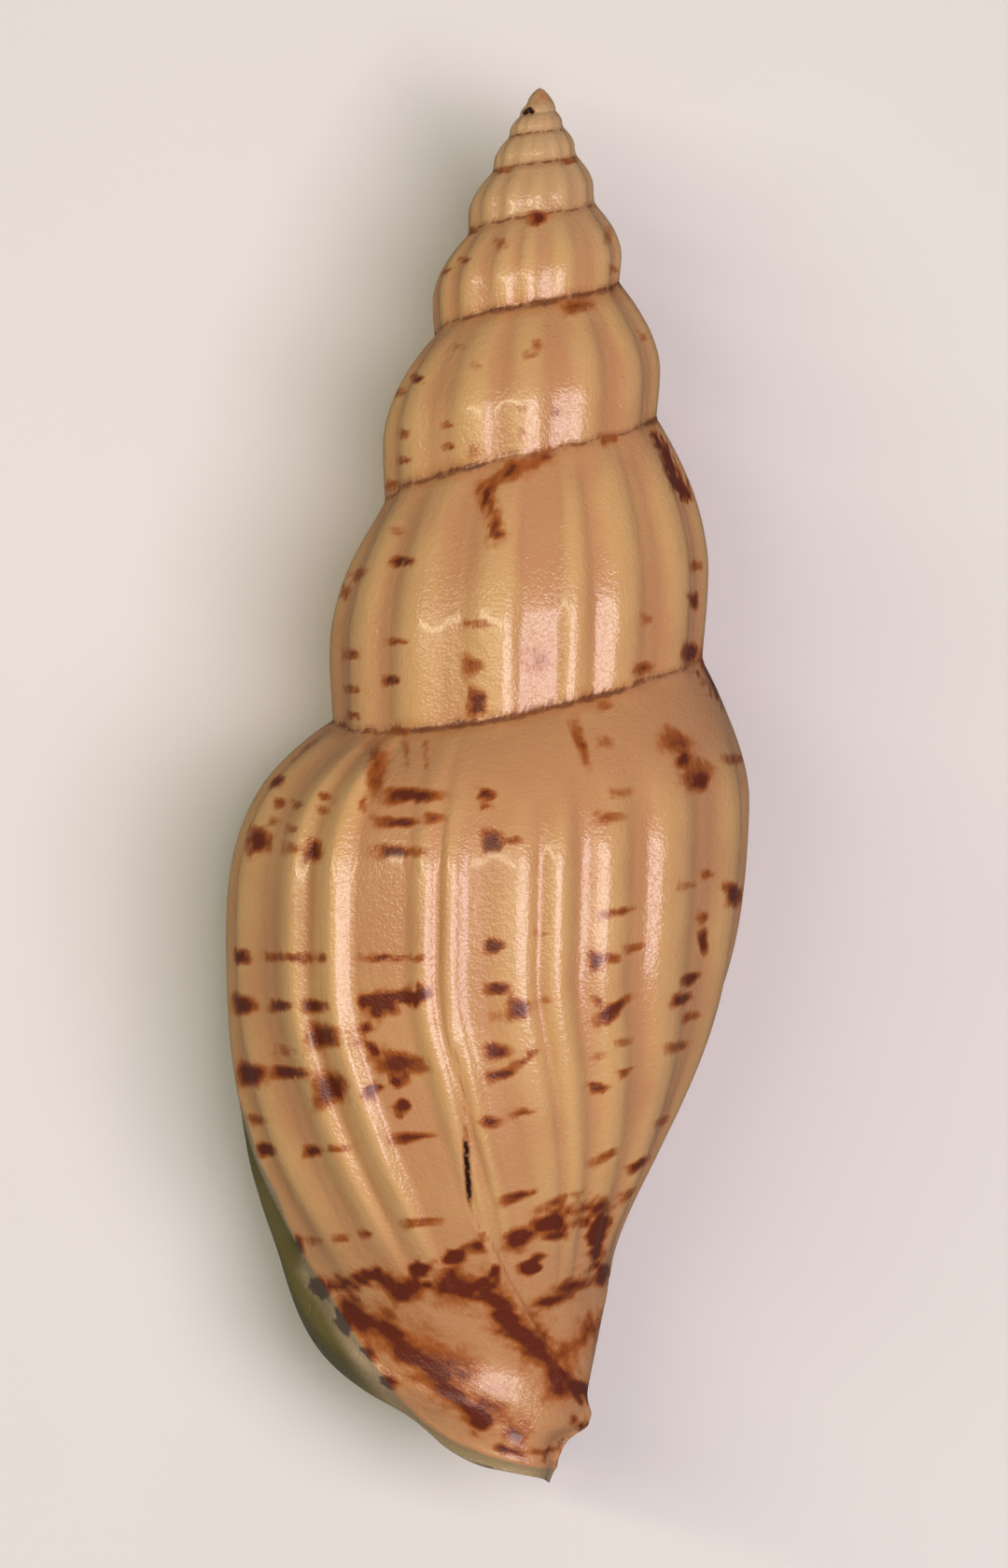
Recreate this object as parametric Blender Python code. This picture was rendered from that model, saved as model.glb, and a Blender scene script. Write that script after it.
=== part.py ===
"""A Lyria boholensis seashell, lying on its aperture. One solid, grown as one piece.

Run it with: blender --background --python part.py

The shell is a height above its own axis. It is worked out in growth coordinates: u, the turns
before the lip along a growth line, and a row that runs down the whorl from the suture. Growth
sizes are in millimetres and degrees, and place() turns them into the scene's metres.
"""

import math

import bmesh
import bpy
import numpy as np
from mathutils import Matrix

MM = 0.001

# the helix: the lip stands at LIP_ANGLE, counted from the right side over the back
FIRST_TURN = -7.5
WHORL_RATIO = 1.69
LIP_ANGLE = 216.0
TIP_ANGLE = 58.0
TIP_TURN = (TIP_ANGLE - LIP_ANGLE) / 360
TIP_DEPTH = 80.1
NOTCH_DEPTH = 76.9
NOTCH_TURN = 0.09
NOTCH_STEP = 1.1
FRONT_BULGE = 0.3
NOSE = 0.9
NOSE_DROP = 0.4
DOME_RINGS = (0.85, 0.6, 0.3)

# turn before the lip, radius at the belly of the whorl
RADII = np.array([
    (-8.0, 0.74), (-7.6, 0.92), (-7.1, 1.1), (-6.6, 1.33), (-6.1, 1.62), (-5.6, 2.0),
    (-5.1, 2.48), (-4.6, 3.08), (-4.1, 3.85), (-3.6, 4.7), (-3.1, 5.7), (-2.6, 7.0),
    (-2.1, 8.42), (-1.6, 9.85), (-1.1, 11.05), (-0.85, 11.7), (-0.6, 12.4), (-0.35, 14.4),
    (-0.1, 16.45), (0.0, 17.0)])

# turn, depth of the suture below the apex over the last turn
SUTURES = np.array([
    (-1.0, 25.5), (-0.85, 28.0), (-0.6, 32.3), (-0.5, 33.5), (-0.4, 35.2), (-0.3, 36.7),
    (-0.2, 37.3), (-0.12, 36.8), (-0.05, 36.1), (0.0, 35.6)])

# turn, end of the shoulder, its power, belly depth, neck radius, neck depth, power of the base
STATIONS = np.array([
    (-2.2, 15.0, 1.7, 17.0, 2.4, 36.0, 1.7),
    (-1.6, 23.5, 1.7, 24.5, 2.6, 47.0, 1.7),
    (-1.0, 32.8, 1.7, 33.0, 3.5, 59.0, 1.75),
    (-0.6, 40.5, 1.95, 38.3, 5.35, 68.2, 1.55),
    (-0.35, 45.0, 2.4, 41.5, 4.6, 78.0, 1.7),
    (-0.1, 49.5, 3.0, 44.1, 3.2, 86.0, 1.63),
    (0.0, 51.0, 3.1, 45.5, 3.0, 88.5, 1.6)])
SHOULDER_END, SHOULDER_POWER, BELLY, NECK_RADIUS, NECK_DEPTH, BASE_POWER = range(1, 7)
NECK_TAPER = 0.18
NECK_LENGTH = 9.0
SUTURE_TUCK = 0.985
APEX_FILL = 0.1
SPIRE_SHOULDER = 0.64
SHOULDER_CURVE = 1.7
PARIETAL_BLEND = 3.0

# depth, angle of the lip's edge, from the back corner of the aperture to the siphon
LIP = np.array([
    (35.6, 216), (51, 216), (58, 211), (64, 205.5), (70, 199), (73, 188), (75, 171),
    (76.3, 152), (78.1, 135), (79.1, 108), (79.6, 85), (80.1, 58)])
WALL = 1.3
LIP_WALL = 2.9
TIP_WALL = 1.3
LEAST_ROOM = 0.3
LIP_RADIUS = 8.0
CORNER_RADIUS = 12.0
SHOULDER_CROWD = 0.105
COLLAR_HEIGHT = 1.15
COLLAR_WIDTH = 4.5
LIP_FLARE = 1.0
FLARE_DEPTH = 71.0
FLARE_LENGTH = 4.0

# ribs that the photo shows, by whorls back from the lip: angle, height, older and newer width
SEEN_RIBS = (
    (0, 23.5, 1.0, 11, 12), (0, 52, 1.0, 11, 8), (0, 69.3, 0.9, 7, 7), (0, 82, 1.0, 5, 5),
    (0, 90.3, 0.8, 5, 9), (0, 106.4, 0.75, 3.6, 2.8), (0, 111.9, 0.75, 2.8, 5),
    (0, 132.1, 1.5, 2.6, 9.5), (0, 144.6, 1.0, 3, 10), (0, 166.8, 1.0, 9, 9), (0, 186, 1.0, 9, 9),
    (1, 32.7, 1.0, 10, 11), (1, 58.7, 1.0, 10, 10), (1, 76.1, 0.9, 7, 5), (1, 98.5, 1.1, 7, 14),
    (1, 127.4, 1.0, 11, 11), (1, 150.9, 1.0, 10, 12),
    (2, 39.5, 1.0, 11, 12), (2, 66.1, 1.0, 11, 12), (2, 92.5, 1.0, 11, 12), (2, 116.6, 1.0, 11, 13),
    (2, 148.4, 1.0, 12, 12),
    (3, 37.2, 1.0, 11, 14), (3, 71.8, 1.0, 12, 10), (3, 95.1, 1.0, 8, 8), (3, 111, 1.0, 8, 10),
    (3, 135.8, 1.0, 11, 10), (3, 158.6, 1.0, 10, 11))
RIBS_PER_TURN = 14
RIB_HEIGHT = 0.04
RIB_SEED = 7
SUTURE_WAVE = 0.016

# columella folds: depth on the aperture's edge, height, half width
FOLDS = (
    (47.5, 0.35, 0.7), (51.5, 0.4, 0.75), (55.8, 0.55, 0.85), (60.5, 0.85, 1.0), (65.5, 1.1, 1.1),
    (70.5, 1.1, 1.15))
FOLD_PITCH = 15.0
FOLD_TURN = -1.1

# mesh: steps a turn, and rows over the spire band, the rim and the rest of the body whorl
STEPS = 120
BAND_ROWS = 10
RIM_ROWS = 4
BODY_ROWS = 26
ROOM_TURNS = 0.75
TRIANGLES = 9800

# how it lies: turned about its length, then lifted at the apex end, in degrees
REST_ROLL = -4.0
REST_PITCH = 0.5
REST_WEAR = 0.25
WELD = 0.002

SHELL_COLOUR = (0.66, 0.42, 0.24, 1.0)
SHELL_ROUGHNESS = 0.25


def through(xs, ys, x):
    """A smooth curve through the points that never overshoots them."""
    h = np.diff(xs)
    slope = np.diff(ys) / h
    m = np.concatenate([slope[:1], np.zeros(len(xs) - 2), slope[-1:]])
    same = slope[:-1] * slope[1:] > 0
    w1, w2 = 2 * h[1:] + h[:-1], h[1:] + 2 * h[:-1]
    before, after = np.where(same, slope[:-1], 1), np.where(same, slope[1:], 1)
    m[1:-1][same] = ((w1 + w2) / (w1 / before + w2 / after))[same]
    x = np.clip(x, xs[0], xs[-1])
    k = np.clip(np.searchsorted(xs, x, side="right") - 1, 0, len(xs) - 2)
    s = (x - xs[k]) / h[k]
    ends = (1 + 2 * s) * (1 - s) ** 2 * ys[k] + s * s * (3 - 2 * s) * ys[k + 1]
    return ends + s * (1 - s) * h[k] * ((1 - s) * m[k] - s * m[k + 1])


def ease(x, start, end):
    s = np.clip((x - start) / (end - start), 0, 1)
    return s * s * (3 - 2 * s)


def whorl_radius(t):
    return through(RADII[:, 0], RADII[:, 1], t)


def suture(t):
    """Depth of the suture: an even spiral up the spire, and the seen line over the last turn."""
    spire = SUTURES[0, 1] * WHORL_RATIO ** (np.minimum(t, -1) + 1)
    return np.where(t < -1, spire, through(SUTURES[:, 0], SUTURES[:, 1], np.maximum(t, -1)))


def lower_suture(t):
    return suture(np.minimum(t + 1, 0))


def station(t, column):
    return through(STATIONS[:, 0], STATIONS[:, column], t)


def end_depth(t):
    """Depth of the front end: the notch, with the tip of the outer wall past it."""
    tip = (TIP_DEPTH - NOTCH_DEPTH) * ease(t, TIP_TURN - NOTCH_TURN, TIP_TURN)
    return NOTCH_DEPTH + tip + 1.5 * ease(t, TIP_TURN, 0)


def notch_step(t, d):
    """How far the surface steps in past the neck, beside the tip."""
    beside = ease(t, TIP_TURN - 2 * NOTCH_TURN, TIP_TURN - NOTCH_TURN)
    beside = beside * (1 - ease(t, TIP_TURN, TIP_TURN + NOTCH_TURN))
    return NOTCH_STEP * beside * ease(d, NOTCH_DEPTH - 0.2, NOTCH_DEPTH + 0.9)


def nose(t, d):
    """The share of its radius by which the surface rounds in at its front end."""
    near = np.clip(1 + (d - end_depth(t)) / NOSE, 0, 1)
    return NOSE_DROP * (1 - np.sqrt(1 - near ** 2)) * (1 - ease(t, TIP_TURN - NOTCH_TURN, TIP_TURN))


def seam_radius(t):
    """Radius at the suture above a whorl: that of the whorl before, fuller towards the apex."""
    return SUTURE_TUCK * whorl_radius(t - 1) * (1 + APEX_FILL * (1 - ease(t, -4.5, -2.5)))


def band_radius(t, d):
    """A spire whorl between its two sutures."""
    radius = whorl_radius(t)
    height = np.maximum(lower_suture(t) - suture(t), 0.1)
    band = np.clip((d - suture(t)) / height, 0, 1)
    shoulder = (1 - np.clip(band / SPIRE_SHOULDER, 0, 1)) ** SHOULDER_CURVE
    foot = np.clip((band - SPIRE_SHOULDER) / (1 - SPIRE_SHOULDER), 0, 1) ** 2
    return radius - (radius - seam_radius(t)) * shoulder - (radius - seam_radius(t + 1)) * foot


def body_radius(t, d):
    """The last whorl down to the neck, or the same whorl further in, behind the aperture."""
    radius, top = whorl_radius(t), suture(t)
    belly, neck = station(t, BELLY), station(t, NECK_RADIUS)
    neck_depth = station(t, NECK_DEPTH)
    fall = np.clip((d - belly) / (neck_depth - belly), 0, 1) ** station(t, BASE_POWER)
    base = neck + (radius - neck) * 0.5 * (1 + np.cos(np.pi * fall))
    shoulder = 1 - np.clip((d - top) / (station(t, SHOULDER_END) - top), 0, 1)
    step = radius - SUTURE_TUCK * whorl_radius(t - 1)
    taper = NECK_TAPER * np.clip(d - neck_depth, 0, NECK_LENGTH)
    return base - step * shoulder ** station(t, SHOULDER_POWER) - taper


def outer_radius(t, d):
    """The smooth outer surface at growth turn t and depth d below the apex."""
    t, d = np.broadcast_arrays(t, d)
    corner = lower_suture(t)
    late = ease(t, -1.0, -0.75)
    below = np.maximum(d - corner, 0)
    step = (band_radius(np.minimum(t, -1), corner) - body_radius(t, corner)) * (1 - late)
    body = body_radius(t, d) + step * np.exp(-below / PARIETAL_BLEND)
    share = np.where(d > corner, 1, late)
    return band_radius(t, d) * (1 - share) + body * share


def all_ribs():
    """The seen ribs, with even ones in every gap between them: turn, height and two widths."""
    ribs = sorted(((angle - LIP_ANGLE) / 360 - whorl, height, older / 360, newer / 360)
                  for whorl, angle, height, older, newer in SEEN_RIBS)
    random = np.random.default_rng(RIB_SEED)
    filled = []
    before = FIRST_TURN + 1
    for at, _, _, _ in ribs:
        count = round((at - before) * RIBS_PER_TURN) if at - before > 0.12 else 1
        gap = (at - before) / max(count, 1)
        for i in range(1, count):
            shift, height = random.uniform(-0.07, 0.07), random.uniform(0.85, 1.05)
            filled.append((before + gap * (i + shift), height, 0.42 * gap, 0.46 * gap))
        before = at
    return ribs + filled


def rib_shape(u, ribs):
    """Height of the ribs across growth, 0 to about 1."""
    shape = np.zeros_like(u)
    for at, height, older, newer in ribs:
        away = np.where(u < at, (at - u) / older, (u - at) / newer)
        shape = np.maximum(shape, height * np.cos(math.pi / 2 * np.clip(away, 0, 1)) ** 1.6)
    return shape


def rib_reach(u, t, d):
    """How strongly the ribs show at a place: less at the sutures, not on the base or the callus."""
    top = suture(t)
    height = np.where(t < -1, np.maximum(lower_suture(t) - top, 0.1), suture(0) - suture(-1))
    band = (d - top) / height
    spire = 0.5 + 0.5 * ease(band, 0, 0.35) - 0.25 * ease(band, 0.7, 1)
    spire = spire * np.where(t < -1, 1, 1 - ease(d, 50, 62))
    newest = ease(LIP_ANGLE + 360 * t, 95, 130)
    shoulder = newest * (0.45 + 0.55 * ease(d - top, 0, 4)) + (1 - newest) * ease(d - top, 2.5, 9)
    body = shoulder * (1 - ease(d, 61, 71))
    callus = np.where(band > 1, ease(u, -0.86, -0.78), 1)
    late = ease(u, -1.0, -0.72)
    return (spire * (1 - late) + body * late) * callus


def back_from_lip(u, radius):
    """Distance along the whorl from the lip's edge."""
    return -u * 2 * math.pi * radius


def collar(u, d, radius):
    """The thick pale band outside the lip's edge."""
    width = 1 - ease(back_from_lip(u, radius), COLLAR_WIDTH - 1.1, COLLAR_WIDTH)
    return COLLAR_HEIGHT * width * ease(d - suture(u), 0.5, 4) * (1 - 0.85 * ease(d, 68, 75))


def flare(u, d, radius):
    """How far the lip spreads outwards near the front end."""
    spread = np.exp(-((d - FLARE_DEPTH) / FLARE_LENGTH) ** 2)
    return LIP_FLARE * spread * (1 - ease(back_from_lip(u, radius), 2, 9)) * (u > -0.5)


def fold_height(t, d):
    """Oblique ridges round the columella, seen in the aperture."""
    height = np.zeros_like(d)
    for depth, top, half_width in FOLDS:
        middle = depth + FOLD_PITCH * (t - FOLD_TURN)
        height += top * np.exp(-((d - middle) / half_width) ** 2)
    return height * ease(t, -1.4, -1.15) * (1 - ease(t, -0.93, -0.82))


def wall(u, radius, share):
    """Thickness of the outer wall: thick at the lip, thin at the tip by the siphon."""
    lip = LIP_WALL + (TIP_WALL - LIP_WALL) * ease(share, 0.86, 0.93)
    return WALL + (lip - WALL) * (1 - ease(back_from_lip(u, radius), 2, 14))


class Rows:
    """Rows down a whorl: over the spire band, over the lip's rim, and over the rest."""

    def __init__(self, band, rim, body):
        self.band, self.rim = band, rim
        self.index = np.arange(band + rim + body + 1.0)
        self.in_band = np.clip(self.index / band, 0, 1)
        self.in_rim = np.clip((self.index - band) / rim, 0, 1)
        self.in_body = np.clip((self.index - band - rim) / body, 0, 1)
        steps = np.hypot(np.diff(LIP[:, 0]), np.radians(np.diff(LIP[:, 1])) * LIP_RADIUS)
        length = np.concatenate([[0], np.cumsum(steps)])
        x = self.index / self.index[-1]
        at = length[-1] * (x - SHOULDER_CROWD * np.sin(math.pi * x))
        lip_depth = through(length, LIP[:, 0], at)
        self.sweep = (through(length, LIP[:, 1], at) - LIP_ANGLE) / 360
        top = suture(self.sweep)
        self.share = (lip_depth - top) / (end_depth(self.sweep) - top)

    def places(self, u, ribs):
        """Growth turn and depth of each row at each growth line u."""
        wave = SUTURE_WAVE * rib_shape(u, ribs) * whorl_radius(u)
        next_wave = SUTURE_WAVE * rib_shape(u + 1, ribs) * whorl_radius(u + 1) * (u < -1)
        u = u[:, None]
        t = u + self.sweep
        top = suture(t)
        low = np.where(u < -1, lower_suture(t), top + suture(0) - suture(-1))
        rim = low + wall(np.minimum(u + 1, 0), CORNER_RADIUS, 0) * self.in_rim
        inner = rim + (end_depth(t) - rim) * self.in_body
        spire = np.where(self.index <= self.band, top + (low - top) * self.in_band, inner)
        lip = top + self.share * (end_depth(t) - top)
        late = ease(u, -1.0, -0.35)
        d = spire * (1 - late) + lip * late
        upper = wave[:, None] * (1 - self.in_band) ** 2
        lower = next_wave[:, None] * self.in_band ** 2 * (self.index <= self.band)
        return t, d - upper - lower


def outside(u, rows, ribs):
    """The outer surface with its ribs, collar and folds."""
    t, d = rows.places(u, ribs)
    radius = outer_radius(t, d)
    size = RIB_HEIGHT * whorl_radius(t)
    shape = rib_shape(u, ribs)[:, None]
    line = np.broadcast_to(u[:, None], t.shape)
    top = suture(t)
    relief = shape * rib_reach(line, t, d) * size
    # at its upper suture a whorl starts from the ribs of the one before
    earlier = rib_shape(u - 1, ribs)[:, None] * 0.75 * RIB_HEIGHT * whorl_radius(t - 1)
    start = earlier - shape * rib_reach(line, t, top) * size
    shoulder = 0.16 * np.maximum(lower_suture(t) - top, 8 * (t > -1))
    relief += start * np.clip(1 - (d - top) / np.maximum(shoulder, 0.05), 0, 1) ** 2
    radius += relief + collar(line, d, radius) * (line > -0.3) + flare(line, d, radius)
    radius += fold_height(t, d) - notch_step(t, d)
    radius = np.where(d > lower_suture(t), np.minimum(radius, under_wall(t, d)), radius)
    return t, d, radius * (1 - nose(t, d))


def under_wall(t, d):
    """The largest radius that leaves room under the next whorl's wall, behind the aperture."""
    return np.where(t < -1, outer_radius(t + 1, d) - WALL - LEAST_ROOM, np.inf)


def inside(u, rows):
    """The inner face of the outer wall, meeting the whorl before at the corner and at the siphon."""
    t, d = rows.places(u, [])
    line = u[:, None]
    radius = outer_radius(t, d)
    from_top = d - suture(t)
    siphon = ease(rows.share, 0.9, 1)
    lower = d + wall(line, CORNER_RADIUS, 0) * (1 - ease(from_top, 0, 9))
    lower += (end_depth(t - 1) - end_depth(t)) * siphon
    floor = outer_radius(t - 1, lower) + fold_height(t - 1, lower)
    floor = np.minimum(floor, under_wall(t - 1, lower)) * (1 - nose(t - 1, lower))
    lip = 0.3 * collar(line, d, radius) * (line > -0.3) + flare(line, d, radius)
    room = np.maximum(radius + lip - wall(line, radius, rows.share) - floor, 0.05)
    return t, lower, floor + room * ease(from_top, 0, 3) * (1 - ease(rows.share, 0.93, 1))


def place(t, d, radius):
    """Points in metres: the axis along Y with the apex at +Y, the back of the shell up."""
    angle = math.radians(LIP_ANGLE) + 2 * math.pi * t
    return np.stack([radius * np.cos(angle), -d, radius * np.sin(angle)], -1) * MM


def patches():
    """Grids of points that close the whole shell: spire, body, room behind the lip, rim, ends."""
    rows, ribs = Rows(BAND_ROWS, RIM_ROWS, BODY_ROWS), all_ribs()
    inner = rows.band + rows.rim
    spire_u = -1 - np.arange(round((-1 - FIRST_TURN) * STEPS), -1, -1) / STEPS
    body_u = -1 + np.arange(STEPS + 1) / STEPS
    room_u = -np.arange(round(ROOM_TURNS * STEPS) + 1) / STEPS
    spire = place(*outside(spire_u, rows, ribs))[:, :rows.band + 1]
    body = place(*outside(body_u, rows, ribs))
    # each whorl starts on the lower edge of the one before
    spire[STEPS:, 0] = spire[:-STEPS, -1]
    body[:, 0] = spire[-STEPS - 1:, -1]
    floor = place(*outside(room_u - 1, rows, ribs))[:, inner:]
    ceiling = place(*inside(room_u, rows))
    rim = lip_rim(body, ceiling[0], rows)
    deep_floor = np.concatenate([np.repeat(floor[-1:, :1], inner, 1), floor[-1:]], 1)
    deep_end = np.concatenate([ceiling[-1:], deep_floor])
    front = np.concatenate([body[:, -1], rim[1:, -1]])
    apex = np.concatenate([spire[0, ::-1], spire[1:STEPS + 1, 0]])
    front_cap = dome(front, NOTCH_DEPTH + FRONT_BULGE, 2.0)
    return [spire, body, floor, ceiling, rim, deep_end, front_cap, dome(apex, 0.0, 1.7)]


def lip_rim(body, ceiling, rows):
    """The rounded edge from the outer surface to the inner face, bulging forward."""
    edge = body[-1]
    across = np.linspace(0, math.pi, rows.rim + 1)[:, None, None]
    middle, half = (edge + ceiling) / 2, (edge - ceiling) / 2
    forward = np.cross(half, np.gradient(edge, axis=0))
    forward /= np.linalg.norm(forward, axis=1)[:, None]
    bulge = np.linalg.norm(half, axis=1) * ease(rows.index, 0, 5)
    bulge = bulge * (1 - 0.85 * ease(rows.share, 0.88, 1))
    rim = middle + np.cos(across) * half + np.sin(across) * forward * bulge[:, None]
    rim[:, 0] = body[0, rows.band:rows.band + rows.rim + 1]
    return rim


def dome(loop, depth, power):
    """Closes a loop with a cap whose pole is on the axis: pointed at power 1, round at 2."""
    pole = np.array([0, -depth * MM, 0])
    layers = [loop]
    for ring in DOME_RINGS:
        layer = loop * ring + pole * (1 - ring)
        layer[:, 1] = pole[1] + (loop[:, 1] - pole[1]) * ring ** power
        layers.append(layer)
    return np.stack([*layers, np.repeat(pole[None], len(loop), 0)])


def add_patch(bm, points):
    """One grid of faces with its points moved into place."""
    across, along = points.shape[:2]
    made = bmesh.ops.create_grid(bm, x_segments=along - 1, y_segments=across - 1, size=1)
    for vert, point in zip(made["verts"], points.reshape(-1, 3)):
        vert.co = point


def grown_mesh():
    """The shell at full detail, upright on its own axis."""
    bm = bmesh.new()
    for points in patches():
        add_patch(bm, points)
    bmesh.ops.remove_doubles(bm, verts=bm.verts, dist=WELD * MM)
    bmesh.ops.recalc_face_normals(bm, faces=bm.faces)
    if bm.calc_volume(signed=True) < 0:
        bmesh.ops.reverse_faces(bm, faces=bm.faces)
    bmesh.ops.triangulate(bm, faces=bm.faces)
    mesh = bpy.data.meshes.new("full detail")
    bm.to_mesh(mesh)
    bm.free()
    return mesh


def simplified(mesh):
    """The same surface with its flatter stretches in larger triangles."""
    draft = bpy.data.objects.new("draft", mesh)
    bpy.context.collection.objects.link(draft)
    fewer = draft.modifiers.new("fewer triangles", "DECIMATE")
    fewer.ratio = TRIANGLES / len(mesh.polygons)
    graph = bpy.context.evaluated_depsgraph_get()
    made = bpy.data.meshes.new_from_object(draft.evaluated_get(graph))
    bpy.data.objects.remove(draft)
    return made


def laid_down(mesh):
    """Lies on its lip and belly, worn flat where it touches, centred over the origin."""
    bm = bmesh.new()
    bm.from_mesh(mesh)
    roll = Matrix.Rotation(math.radians(REST_ROLL), 4, "Y")
    pitch = Matrix.Rotation(math.radians(REST_PITCH), 4, "X")
    bm.transform(pitch @ roll)
    low = min(vert.co.z for vert in bm.verts) + REST_WEAR * MM
    geometry = bm.verts[:] + bm.edges[:] + bm.faces[:]
    cut = bmesh.ops.bisect_plane(bm, geom=geometry, plane_co=(0, 0, low), plane_no=(0, 0, -1),
                                 clear_outer=True)
    rims = [piece for piece in cut["geom_cut"] if isinstance(piece, bmesh.types.BMEdge)]
    bmesh.ops.holes_fill(bm, edges=rims, sides=0)
    middle = [(min(vert.co[axis] for vert in bm.verts) + max(vert.co[axis] for vert in bm.verts)) / 2
              for axis in (0, 1)]
    bm.transform(Matrix.Translation((-middle[0], -middle[1], -low)))
    made = bpy.data.meshes.new("shell")
    bm.to_mesh(made)
    bm.free()
    return made


def shell_material():
    material = bpy.data.materials.new("porcelain shell")
    material.use_nodes = True
    surface = material.node_tree.nodes["Principled BSDF"]
    surface.inputs["Base Color"].default_value = SHELL_COLOUR
    surface.inputs["Roughness"].default_value = SHELL_ROUGHNESS
    surface.inputs["Metallic"].default_value = 0.0
    return material


def main():
    for obj in list(bpy.data.objects):
        bpy.data.objects.remove(obj)
    mesh = laid_down(simplified(grown_mesh()))
    mesh.materials.append(shell_material())
    shell = bpy.data.objects.new("shell", mesh)
    bpy.context.collection.objects.link(shell)


if __name__ == "__main__":
    main()
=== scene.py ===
"""A Lyria boholensis seashell, lying on its aperture on a plain pale floor.

Run it with: blender --background --python scene.py

The shell is a height above its own axis. It is worked out in growth coordinates: u, the turns
before the lip along a growth line, and a row that runs down the whorl from the suture. Growth
sizes are in millimetres and degrees, and place() turns them into the scene's metres.
"""

import math

import bpy
import numpy as np
from mathutils import Matrix, Vector


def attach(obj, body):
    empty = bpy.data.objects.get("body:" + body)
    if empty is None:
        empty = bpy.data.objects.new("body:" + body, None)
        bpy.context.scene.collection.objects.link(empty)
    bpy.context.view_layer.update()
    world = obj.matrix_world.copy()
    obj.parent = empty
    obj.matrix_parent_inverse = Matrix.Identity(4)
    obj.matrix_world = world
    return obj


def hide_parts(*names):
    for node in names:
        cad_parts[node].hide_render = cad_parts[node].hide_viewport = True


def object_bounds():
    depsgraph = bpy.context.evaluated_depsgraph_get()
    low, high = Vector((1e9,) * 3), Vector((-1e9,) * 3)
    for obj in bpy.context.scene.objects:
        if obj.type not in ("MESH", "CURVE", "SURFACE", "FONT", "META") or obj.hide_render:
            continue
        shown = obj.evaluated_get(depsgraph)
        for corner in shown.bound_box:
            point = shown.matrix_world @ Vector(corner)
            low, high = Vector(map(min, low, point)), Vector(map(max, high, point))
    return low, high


bl_info = {
    "name": "Volute Seashell",
    "version": (1, 0, 0),
    "blender": (4, 5, 0),
    "location": "3D View > Sidebar > Seashell",
    "description": "Grows a glossy ribbed volute shell with chestnut marks and lays it on a floor",
    "category": "Add Mesh",
}

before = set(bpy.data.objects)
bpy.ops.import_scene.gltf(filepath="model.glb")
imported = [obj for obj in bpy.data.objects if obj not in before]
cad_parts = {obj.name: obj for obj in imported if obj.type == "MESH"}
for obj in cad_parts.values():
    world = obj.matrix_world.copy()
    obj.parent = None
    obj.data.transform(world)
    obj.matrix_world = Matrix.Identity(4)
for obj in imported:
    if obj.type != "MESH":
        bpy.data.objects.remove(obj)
CAD_LOW, CAD_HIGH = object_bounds()

MM = 0.001

# the helix: the lip stands at LIP_ANGLE, counted from the right side over the back
FIRST_RIB = -6.5
WHORL_RATIO = 1.69
LIP_ANGLE = 216.0
TIP_ANGLE = 44.0
TIP_TURN = (TIP_ANGLE - LIP_ANGLE) / 360
TIP_DEPTH = 80.1
NOTCH_DEPTH = 76.9
NOTCH_TURN = 0.09
NOTCH_STEP = 1.1
NOTCH_ABOVE = 0.2
NOTCH_BELOW = 0.9
PAST_TIP_DROP = 1.5
FRONT_BULGE = 0.3
NOSE = 0.9
NOSE_DROP = 0.4
DOME_RINGS = (0.85, 0.6, 0.3)

# turn before the lip, radius at the belly of the whorl
RADII = np.array([
    (-8, 0.74), (-7.6, 0.92), (-7.1, 1.1), (-6.6, 1.33), (-6.1, 1.62), (-5.6, 2),
    (-5.1, 2.48), (-4.6, 3.08), (-4.1, 3.85), (-3.6, 4.7), (-3.1, 5.7), (-2.6, 7),
    (-2.1, 8.42), (-1.6, 9.85), (-1.1, 11.05), (-0.85, 11.7), (-0.6, 12.4), (-0.35, 14.4),
    (-0.1, 16.45), (0, 17)])

# turn, depth of the suture below the apex over the last turn
SUTURES = np.array([
    (-1, 25.5), (-0.85, 28), (-0.6, 32.3), (-0.5, 33.5), (-0.4, 35.2), (-0.3, 36.7),
    (-0.2, 37.3), (-0.12, 36.8), (-0.05, 36.1), (0, 35.6)])

# turn, end of the shoulder, its power, belly depth, neck radius, neck depth, power of the base
STATIONS = np.array([
    (-2.2, 15, 1.7, 17, 2.4, 36, 1.7),
    (-1.6, 23.5, 1.7, 24.5, 2.6, 47, 1.7),
    (-1, 32.8, 1.7, 33, 3.5, 59, 1.75),
    (-0.6, 40.5, 1.95, 38.3, 5.35, 68.2, 1.55),
    (-0.35, 45, 2.4, 41.5, 4.6, 78, 1.7),
    (-0.1, 49.5, 3, 44.1, 3.2, 86, 1.63),
    (0, 51, 3.1, 45.5, 3, 88.5, 1.6)])
SHOULDER_END, SHOULDER_POWER, BELLY, NECK_RADIUS, NECK_DEPTH, BASE_POWER = range(1, 7)
NECK_TAPER = 0.18
NECK_LENGTH = 9.0
SUTURE_TUCK = 0.985
APEX_FILL = 0.1
APEX_TURNS = (-4.5, -2.5)
LEAST_BAND = 0.1
SPIRE_SHOULDER = 0.64
SHOULDER_CURVE = 1.7
PARIETAL_BLEND = 3.0
BODY_TURNS = (-1, -0.75)

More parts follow.
